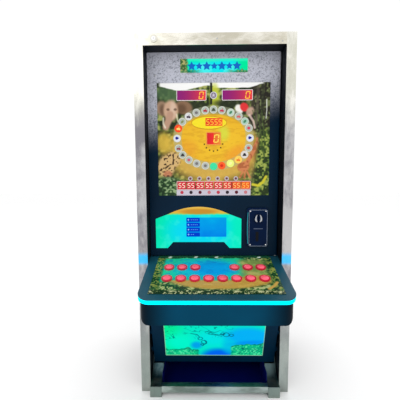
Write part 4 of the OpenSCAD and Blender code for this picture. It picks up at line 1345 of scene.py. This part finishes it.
@dataclass
class GameDoor(Assembly):
    """The door's tray, its marquee, its arched window and its fixings."""

    body: Body = Body.DOOR

    def build(self) -> None:
        """Dresses the tray and adds the two lit lenses."""
        self.finishes.dress("door_coat_and_sheen", "upper_door")
        self.finishes.dress("sill_coat", "door_sill")
        tray = face_of("upper_door", (0, -1, 0))
        self.screws(
            "door_screws", tray, [(-187.5, 264.0), (-205.5, 136.0), (205.0, 264.0)], 2.6, "bare_steel",
            "door_paint"
        )
        self.marquee()
        self.arch()

    def marquee(self) -> None:
        """A cyan lens with leafy ends and a row of stars."""
        lens = face_of("marquee_lens", (0, -1, 0))
        c = Canvas(lens.width, lens.height, 1.2, (16, 236, 240))
        sky = Noise(61).cloud(c.u, c.v, 22)
        c.lay(0.6 * smooth(0.5, 0.7, sky), (110, 250, 244))
        c.lay(smooth(62, 100, abs(c.u) + 12 * sky), (0, 238, 160))
        c.lay(0.8 * smooth(6, 18, c.v + 6 * sky) * (1 - smooth(-60, 20, c.u)), (0, 246, 190))
        c.lay(0.8 * smooth(12, 20, c.v + 4 * sky), (60, 250, 200))
        c.leaves(smooth(88, 98, 14 * sky - c.u), [(70, 104, 62), (120, 150, 92), (178, 176, 110)], 9, 67)
        brink = smooth(14, 20, 7 * Noise(71).at(c.u, c.v, 7) - c.v) * smooth(30, 90, abs(c.u))
        c.leaves(0.8 * brink, [(30, 96, 70), (110, 160, 100), (150, 170, 110)], 8, 73)
        self.add("marquee_picture", c.slab(lens, 3.0), "lit_lens", "lit_lens", "marquee_lens")
        stars = []
        for k in range(7):
            u = (k - 3) * 24.5 + 1  # seven stars, evenly spread about the lens's middle
            stars.append(
                prism(lens, star(u, -1, 15.0 if k % 2 == 0 else 12.0, 5, 0.5), -0.1, 0.5, (0, 104, 204))
            )
        self.add("marquee_stars", joined(stars), "lit_lamp", "lit_lens")

    def arch(self) -> None:
        """The arched lens: an aqua surround, a golden cap and a screen with a menu of four rows."""
        lens = face_of("arch_window", (0, -1, 0))
        c = Canvas(lens.width, lens.height, 1.3, (0, 238, 206))
        u, v = c.u, c.v
        c.lay(1 - smooth(-152, -60, u), (4, 236, 178))
        c.lay(c.oval(8, -16, 112, 62, 0, 0.5), (10, 220, 246))
        c.lay(smooth(84, 140, u), (6, 240, 196))
        c.lay(0.5 * (1 - smooth(-74, -30, v)), (16, 246, 210))
        cloud = Noise(83).cloud(u, v, 18)
        c.lay(0.25 * smooth(0.5, 0.75, cloud), (120, 255, 226))
        chord = 45 + 2.0 * Noise(89).at(u, v, 6)
        c.lay(smooth(-3, 2, v - chord), (176, 206, 92))
        c.lay(smooth(0, 3, v - chord - 2), (232, 184, 70))
        c.lay(0.85 * c.oval(0, 55, 62, 9, 0, 0.4), (196, 138, 48))
        c.lay(0.6 * smooth(66, 72, v + 0.0016 * u * u), (240, 206, 110))
        self.add("arch_picture", c.slab(lens, 3.0), "lit_lens", "lit_lens", "arch_window")
        self.screen(lens)

    def screen(self, lens: Face) -> None:
        """The screen in the arch: a blue field, four menu rows and short marks on them."""
        lift = face_of("lcd_module", (0, -1, 0))
        u_mid = float((lift.middle - lens.middle) @ lens.across) / MM
        v_mid = float((lift.middle - lens.middle) @ lens.up) / MM
        self.finishes.dress("black_moulding", "lcd_module")
        wide, high = 137.0, 67.0
        share = np.linspace(0, 1, 40)
        u, v = np.meshgrid(u_mid + wide * (share - 0.5), v_mid - 3 + high * (share - 0.5), indexing="ij")
        rgb = np.array((4, 152, 244), float) + np.stack(
            [0 * u, 34 * (share[None, :] - 0.5) + 0 * u, 0 * u], -1
        )
        field_cloud = Noise(97).cloud(u, v, 24)[..., None]
        rgb = rgb + field_cloud * np.array((10, 26, 8)) - 12
        parts = [slab(lens.raised(0.3), u, v, 0.3, rgb, (4, 120, 220))]
        row_u, row_w, row_h = u_mid - 45.5, 46.0, 13.5
        for k in range(4):
            row_v = v_mid + 22.5 - 17 * k
            parts.append(
                prism(lens, round_rect(row_u, row_v, row_w, row_h, 2.0, 4), 0.2, 0.5, (0, 62, 206))
            )
            parts.append(prism(lens, star(row_u - 16, row_v, 3.6, 4, 0.5), 0.4, 0.7, (150, 214, 255)))
            for m in range(2 if k == 3 else 4):
                mark = round_rect(row_u - 6 + 6.6 * m, row_v, 4.2, 2.0, 0.6, 3)
                parts.append(prism(lens, mark, 0.4, 0.7, (96, 176, 250)))
        self.add("menu_screen", joined(parts), "lit_lens", "screen")


@dataclass
class CoinUnit(Assembly):
    """The coin unit's face: a rim, a side light, screws, a petalled coin guide, marks and a dark sheet of
    painted shade.

    Attributes:
        plate_w: Width of its face plate, in millimetres.
        plate_h: Height of its face plate.
    """

    body: Body = Body.DOOR
    plate_w: float = 64.5
    plate_h: float = 127.0

    def build(self) -> None:
        """Dresses the unit and draws its lines."""
        self.finishes.dress("coin_black", "coin_plate", "coin_flap")
        plate = face_of("coin_plate", (0, -1, 0))
        w, h = self.plate_w, self.plate_h
        line = round_rect(0, 0, w - 3.5, h - 3.5, 5.0, 6)
        rim = rim_tube(plate, line, 0.75, 0.1, (136, 150, 170), 6)
        self.add("coin_rim", rim, "plain_print", "coin_metal")
        t = np.linspace(-1, 1, 16)
        bow = np.stack([-w / 2 - 2.2 - 2.4 * (1 - t * t), t * (h / 2 - 9)], -1)
        back = np.stack([-w / 2 - 1.0 - 2.0 * (1 - t * t), t * (h / 2 - 9)], -1)
        side = prism(plate, np.vstack([back, bow[::-1]]), -4.0, -1.4, (52, 168, 176))
        self.add("coin_side_light", side, "lit_lamp", "coin_metal")
        corners = [(x * (w / 2 - 6), y * (h / 2 - 6)) for x in (-1, 1) for y in (-1, 1)]
        self.screws("coin_screws", plate, corners, 2.5, "chrome", "chrome")
        guide = plate.raised(7.0)
        petals = [self.petal(guide, side) for side in (-1, 1)]
        self.add("coin_petals", joined(petals), "bare_steel", "chrome")
        bar = prism(plate, round_rect(0, -2.0, 31, 2.2, 1.0, 4), -0.1, 0.5, (96, 108, 132))
        # Painted shade: a dark sheet over the coin flap, standing for the shade in its recess.
        shade = prism(plate, round_rect(-3, -29, 9.5, 33, 1.5, 4), -0.1, 0.25, (4, 6, 12))
        self.add("coin_mark_and_shade", bar + shade, "plain_print", "coin_metal")

    @staticmethod
    def petal(guide: Face, side: int) -> Shape:
        """One crescent beside the slot: an outer bow and a flatter inner bow, joined at the tips."""
        t = np.linspace(-1, 1, 14)
        outer = np.stack(
            [side * (3.4 + 8.2 * np.sqrt(np.clip(1 - t * t, 0, 1)) * (1 - 0.25 * t)), 34.5 + 12.5 * t], -1
        )
        inner = np.stack([side * (3.4 + 3.2 * (1 - t * t)), 34.5 + 12.5 * t], -1)[::-1]
        outline = np.vstack([outer, inner[1:-1]])
        if side < 0:
            outline = outline[::-1]
        return prism(guide, outline, -0.1, 0.6, (196, 190, 214))


@dataclass
class ControlDeck(Assembly):
    """The sloping deck: its printed sheet, buttons, light strip and box.

    Attributes:
        hole: Radius left open round each button, under its bezel.
    """

    hole: float = 15.2

    def build(self) -> None:
        """Dresses the deck and prints its sheet."""
        self.finishes.dress("deck_coat", "deck_plate")
        self.finishes.dress("panel_coat_and_end_shade", "deck_box")
        self.finishes.dress("light_strip", "deck_led_strip")
        self.finishes.dress("red_bezel", "button_housings")
        self.finishes.dress("red_plunger", *(f"button_{k:02d}" for k in range(1, BUTTON_COUNT + 1)))
        self.finishes.dress("overlay_edge", "deck_overlay")
        top = face_of("deck_overlay", (0, -0.2, 1))
        self.add("deck_picture_and_reflection", self.sheet(top), "deck_print_painted_glow", "printed_overlay")

    def buttons(self, top: Face) -> Array:
        """The buttons' middles on the sheet, from their CAD plungers."""
        places = []
        for k in range(1, BUTTON_COUNT + 1):
            low, high = (np.array(x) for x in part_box(f"button_{k:02d}"))
            off = (low + high) / 2 - top.middle
            off = off - (off @ top.out) * top.out
            places.append((off @ top.across / MM, off @ top.up / MM))
        return np.array(places)

    def sheet(self, top: Face) -> Shape:
        """The printed sheet: a golden bank among leaves, and an aqua pond that is painted reflection of the
        lit arch window, open under each bezel.

        The grid's squares that lie inside a button's hole are left out, and the
        squares that remain get a second layer below and a wall round every rim.
        """
        c = Canvas(top.width, top.height, 1.5, (30, 70, 50))
        u, v = c.u, c.v
        every = np.ones_like(u)
        c.leaves(every, [(20, 54, 38), (44, 96, 52), (96, 140, 66), (176, 186, 128)], 13, 101)
        cloud = Noise(103).cloud(u, v, 30)
        wobble = 10 * (cloud - 0.5)
        # Painted reflection: the aqua pond lies where the lit arch window reflects in the glossy sheet.
        reflection_pond = smooth(-172, -160, u + wobble) * (
            1 - smooth(70, 112, u + wobble)
        ) * smooth(-58, -42, v + wobble)
        reflection_pond = reflection_pond * (1 - smooth(84, 94, v + wobble))
        c.lay(reflection_pond, (34, 206, 148))
        c.lay(reflection_pond * c.oval(-30, 24, 98, 62, 0, 0.5), (18, 190, 214))
        c.lay(reflection_pond * c.oval(0, 26, 66, 42, 0, 0.45), (6, 160, 232))
        c.lay(0.5 * reflection_pond * smooth(0.55, 0.72, Noise(107).cloud(u * 0.5, v, 9)), (20, 130, 206))
        right = smooth(62, 96, u) * (
            1 - smooth(150, 176, u)
        ) * smooth(-46, -20, v) * (1 - smooth(70, 92, v))
        c.lay(0.85 * right, (140, 164, 84))
        c.lay(0.7 * right * smooth(0.5, 0.7, cloud), (196, 186, 110))
        bank = c.oval(15, -20, 170, 66, 0, 0.10) * (
            1 - smooth(-46, -34, v + wobble - 24 * smooth(40, 110, u))
        )
        c.lay(bank, (188, 152, 66))
        c.lay(0.6 * bank * smooth(0.5, 0.68, Noise(109).cloud(u * 0.4, v, 9)), (206, 172, 84))
        c.leaves(smooth(158, 174, abs(u)), [(18, 60, 36), (52, 104, 50), (140, 150, 70)], 12, 113)
        brink = 1 - smooth(-94, -88, v + 5 * (cloud - 0.5))
        c.leaves(brink, [(22, 50, 30), (70, 96, 50), (192, 196, 150)], 8, 127)
        c.lay(c.stroke([(148, -84), (166, -70), (178, -52)], 9, 0.4), (196, 158, 76))
        c.lay(0.9 * smooth(92, 99, v + 5 * cloud), (18, 74, 48))
        for place in ((-150, 98), (-62, 99), (8, 98), (152, 97)):
            c.lay(c.oval(*place, 7, 4, 20, 0.4), (226, 240, 228))
        return self.perforated(top, c, 0.14)

    def perforated(self, top: Face, c: Canvas, thick: float) -> Shape:
        """A thin closed sheet of the picture's grid, without the squares in the buttons' holes."""
        n, m = c.u.shape
        index = np.arange(n * m).reshape(n, m)
        mid_u = (c.u[:-1, :-1] + c.u[1:, 1:]) / 2
        mid_v = (c.v[:-1, :-1] + c.v[1:, 1:]) / 2
        gap = np.full(mid_u.shape, np.inf)
        for u, v in self.buttons(top):
            gap = np.minimum(gap, np.hypot(mid_u - u, mid_v - v))
        kept = gap > self.hole
        every = squares(index)
        quads = every[kept]
        wide = np.pad(kept, 1)
        sides = []
        for (du, dv), (a, b) in {(0, -1): (0, 1), (1, 0): (1, 2), (0, 1): (2, 3), (-1, 0): (3, 0)}.items():
            beside = wide[1 + du:n + du, 1 + dv:m + dv]
            open_edge = every[kept & ~beside]
            sides.append(
                np.stack(
                    [open_edge[:, a], open_edge[:, a] + n * m, open_edge[:, b] + n * m, open_edge[:, b]], -1
                )
            )
        faces = np.vstack([quads, quads[:, ::-1] + n * m, *sides])
        points = np.vstack(
            [top.point(c.u, c.v, thick).reshape(-1, 3), top.point(c.u, c.v, 0.01).reshape(-1, 3)]
        )
        used, packed = np.unique(faces, return_inverse=True)
        colours = np.vstack([c.rgb.reshape(-1, 3)] * 2)
        return Shape(points[used], [tuple(f) for f in packed.reshape(-1, 4).tolist()], colours[used])


@dataclass
class LowerFront(Assembly):
    """The raked panel with its lit window, and the toe bay."""

    def build(self) -> None:
        """Dresses the panel and paints the window."""
        self.finishes.dress("rake_coat", "raked_panel")
        self.finishes.dress("bay_coat", "toe_bay")
        self.finishes.dress("white_moulding", "lower_light_box")
        lens = face_of("lower_window", (0, -1, -0.3))
        self.add("lower_picture", self.river(lens), "lit_lens", "lit_lens", "lower_window")
        width, height = lens.width - 18, lens.height - 18
        line = round_rect(0, 0, width - 2.4, height - 2.4, 1.5, 3)
        self.add("window_edge", rim_tube(lens, line, 0.9, 0.5, (150, 214, 176), 6), "lit_lamp", "lit_lens")

    @staticmethod
    def river(lens: Face) -> Shape:
        """Paints a river between leafy banks, with a bird standing in it."""
        c = Canvas(lens.width, lens.height, 1.2, (0, 236, 200))
        u, v = c.u, c.v
        cloud = Noise(131).cloud(u, v, 50)
        fine = Noise(137).cloud(u, v, 15)
        c.lay(1 - smooth(-160, -60, u + 50 * (cloud - 0.5)), (0, 238, 152))
        c.lay(c.oval(-118, -22, 54, 40, 0, 0.7), (0, 250, 206))
        c.lay(0.8 * c.oval(6, -4, 66, 40, 0, 0.7), (0, 232, 236))
        c.lay(c.oval(122, 4, 84, 42, -6, 0.4), (0, 180, 250))
        c.lay(0.7 * c.oval(120, -26, 60, 12, 6, 0.6), (0, 138, 246))
        c.lay(c.oval(16, -88, 56, 34, 0, 0.45), (0, 104, 244))
        c.lay(0.85 * c.oval(-62, -36, 18, 16, 0, 0.6), (0, 150, 244))
        c.lay(0.7 * c.oval(52, -46, 22, 34, 16, 0.6), (0, 186, 240))
        left = -v - 58 + 60 * (cloud - 0.5) + 16 * (fine - 0.5)
        right = -v - 38 + 0.16 * (u - 60) + 24 * (cloud - 0.5) + 14 * (fine - 0.5)
        left_bank = smooth(-2, 2, left) * (1 - smooth(-62, -48, u))
        right_bank = smooth(-2, 2, right) * smooth(58, 68, u + 8 * fine)
        tones = [(6, 182, 124), (18, 214, 142), (84, 240, 172)]
        c.leaves(0.9 * left_bank, tones, 11, 149)
        c.leaves(0.9 * right_bank, tones, 11, 151)
        ridges = 1 - smooth(0.012, 0.035, abs(Noise(157).cloud(u * 0.6 + v * 0.5, v, 13, 2) - 0.5))
        overhang = smooth(
            -4, 10, v + 34 * (Noise(163).cloud(u, v, 20) - 0.5)
        ) * (1 - smooth(60, 96, abs(u + 20)))
        corner = (1 - smooth(-150, -128, u + 30 * (fine - 0.5))) * smooth(-26, 6, v)
        leafy = np.clip(left_bank + right_bank + 0.8 * overhang + corner, 0, 1)
        c.lay(0.75 * ridges * leafy, (0, 84, 92))
        for edge, where in ((left, left_bank), (right, right_bank)):
            c.lay(0.6 * (1 - smooth(1.0, 3.0, abs(edge - 2))) * smooth(0.2, 0.6, where), (0, 96, 92))
        for middle, size in (
            ((-48, -4), 8), ((-36, -20), 9), ((-42, -32), 5), ((40, 14), 10), ((28, 18), 6), ((58, 12), 6)
        ):
            radius = np.hypot(u - middle[0], (v - middle[1]) * 1.2) + 3 * (fine - 0.5)
            c.lay(0.8 * (1 - smooth(0.9, 2.2, abs(radius - size))), (0, 90, 112))
        for bough in (
            [(-80, 20), (-58, 14), (-50, 2)], [(-20, 18), (10, 12), (36, 18)],
            [(-34, -12), (-26, -26), (-40, -38)]
        ):
            c.lay(0.8 * c.stroke(bough, 3.0, 0.6), (0, 88, 104))
        for blade in range(6):
            start = 84 + 13 * blade
            c.lay(
                0.6 * c.stroke([(start, -78), (start + 14, -60), (start + 34, -50)], 2.4, 0.6), (0, 104, 92)
            )
        return c.slab(lens, 3.0)


@dataclass
class Studio:
    """The pale floor, the soft lights and the camera.

    Attributes:
        eye: The camera's place, in metres.
        lens: Its focal length in millimetres, on a 36 mm sensor.
        pitch: Its tilt below the horizon, in degrees.
        yaw: Its turn to the right, in degrees.
        roll: Its lean, in degrees.
    """

    eye: Colour = (-0.03316, -1.00178, 0.75143)
    lens: float = 25.77
    pitch: float = 5.66
    yaw: float = -0.846
    roll: float = -0.285

    def build(self) -> None:
        """Sets up the room."""
        self.floor()
        self.world()
        self.lamp("key_light", (-1.5, -2.0, 2.6), (0, 0, 0.6), 2.4, 16)
        self.lamp("fill_light", (1.9, -1.8, 1.5), (0, 0, 0.6), 2.0, 7)
        self.lamp("back_light", (0.4, 2.6, 2.2), (0, 0, 0.7), 2.4, 16)
        self.camera()
        bpy.context.scene.view_settings.view_transform = "Standard"

    @staticmethod
    def floor() -> None:
        """A wide pale floor."""
        g = Graph("studio_floor")
        g.finish({"Base Color": (0.97, 0.97, 0.97, 1), "Roughness": 0.8, "Specular IOR Level": 0.1})
        half = 9.0
        mesh = bpy.data.meshes.new("floor")
        mesh.from_pydata(
            [(-half, -half, 0), (half, -half, 0), (half, half, 0), (-half, half, 0)], [], [(0, 1, 2, 3)]
        )
        mesh.materials.append(g.material)
        piece = bpy.data.objects.new("floor", mesh)
        bpy.context.scene.collection.objects.link(piece)

    @staticmethod
    def world() -> None:
        """Even white light from all round."""
        world = bpy.data.worlds.new("studio")
        world.use_nodes = True
        shade = world.node_tree.nodes["Background"]
        shade.inputs["Color"].default_value = (1, 1, 1, 1)
        shade.inputs["Strength"].default_value = 1.03
        bpy.context.scene.world = world

    @staticmethod
    def lamp(name: str, place: Colour, target: Colour, size: float, power: float) -> None:
        """A square soft light that looks at the target."""
        data = bpy.data.lights.new(name, "AREA")
        data.size, data.energy = size, power
        lamp = bpy.data.objects.new(name, data)
        lamp.location = place
        away = np.array(target) - np.array(place)
        lamp.rotation_euler = Vector(away).to_track_quat("-Z", "Y").to_euler()
        bpy.context.scene.collection.objects.link(lamp)

    def camera(self) -> None:
        """The camera: right, up and back directions from its pitch, yaw and roll."""
        p, y, r = (math.radians(a) for a in (self.pitch, self.yaw, self.roll))
        ahead = np.array([math.sin(y) * math.cos(p), math.cos(y) * math.cos(p), -math.sin(p)])
        right = np.array([math.cos(y), -math.sin(y), 0.0])
        up = np.cross(right, ahead)
        side = right * math.cos(r) + up * math.sin(r)
        top = up * math.cos(r) - right * math.sin(r)
        turn = np.eye(4)
        turn[:3, 0], turn[:3, 1], turn[:3, 2], turn[:3, 3] = side, top, -ahead, self.eye
        data = bpy.data.cameras.new("camera")
        data.lens, data.sensor_width = self.lens, 36.0
        camera = bpy.data.objects.new("camera", data)
        camera.matrix_world = Matrix(turn.tolist())
        bpy.context.scene.collection.objects.link(camera)
        bpy.context.scene.camera = camera


def main() -> None:
    """Builds every assembly in order."""
    logging.basicConfig(level=logging.INFO, format="%(name)s %(message)s")
    finishes = Finishes()
    for part in (SteelFrame, CabinetShell, Inside, GameDoor, GameArt, CoinUnit, ControlDeck, LowerFront):
        part(finishes).build()
    Studio().build()


if __name__ == "__main__":
    main()
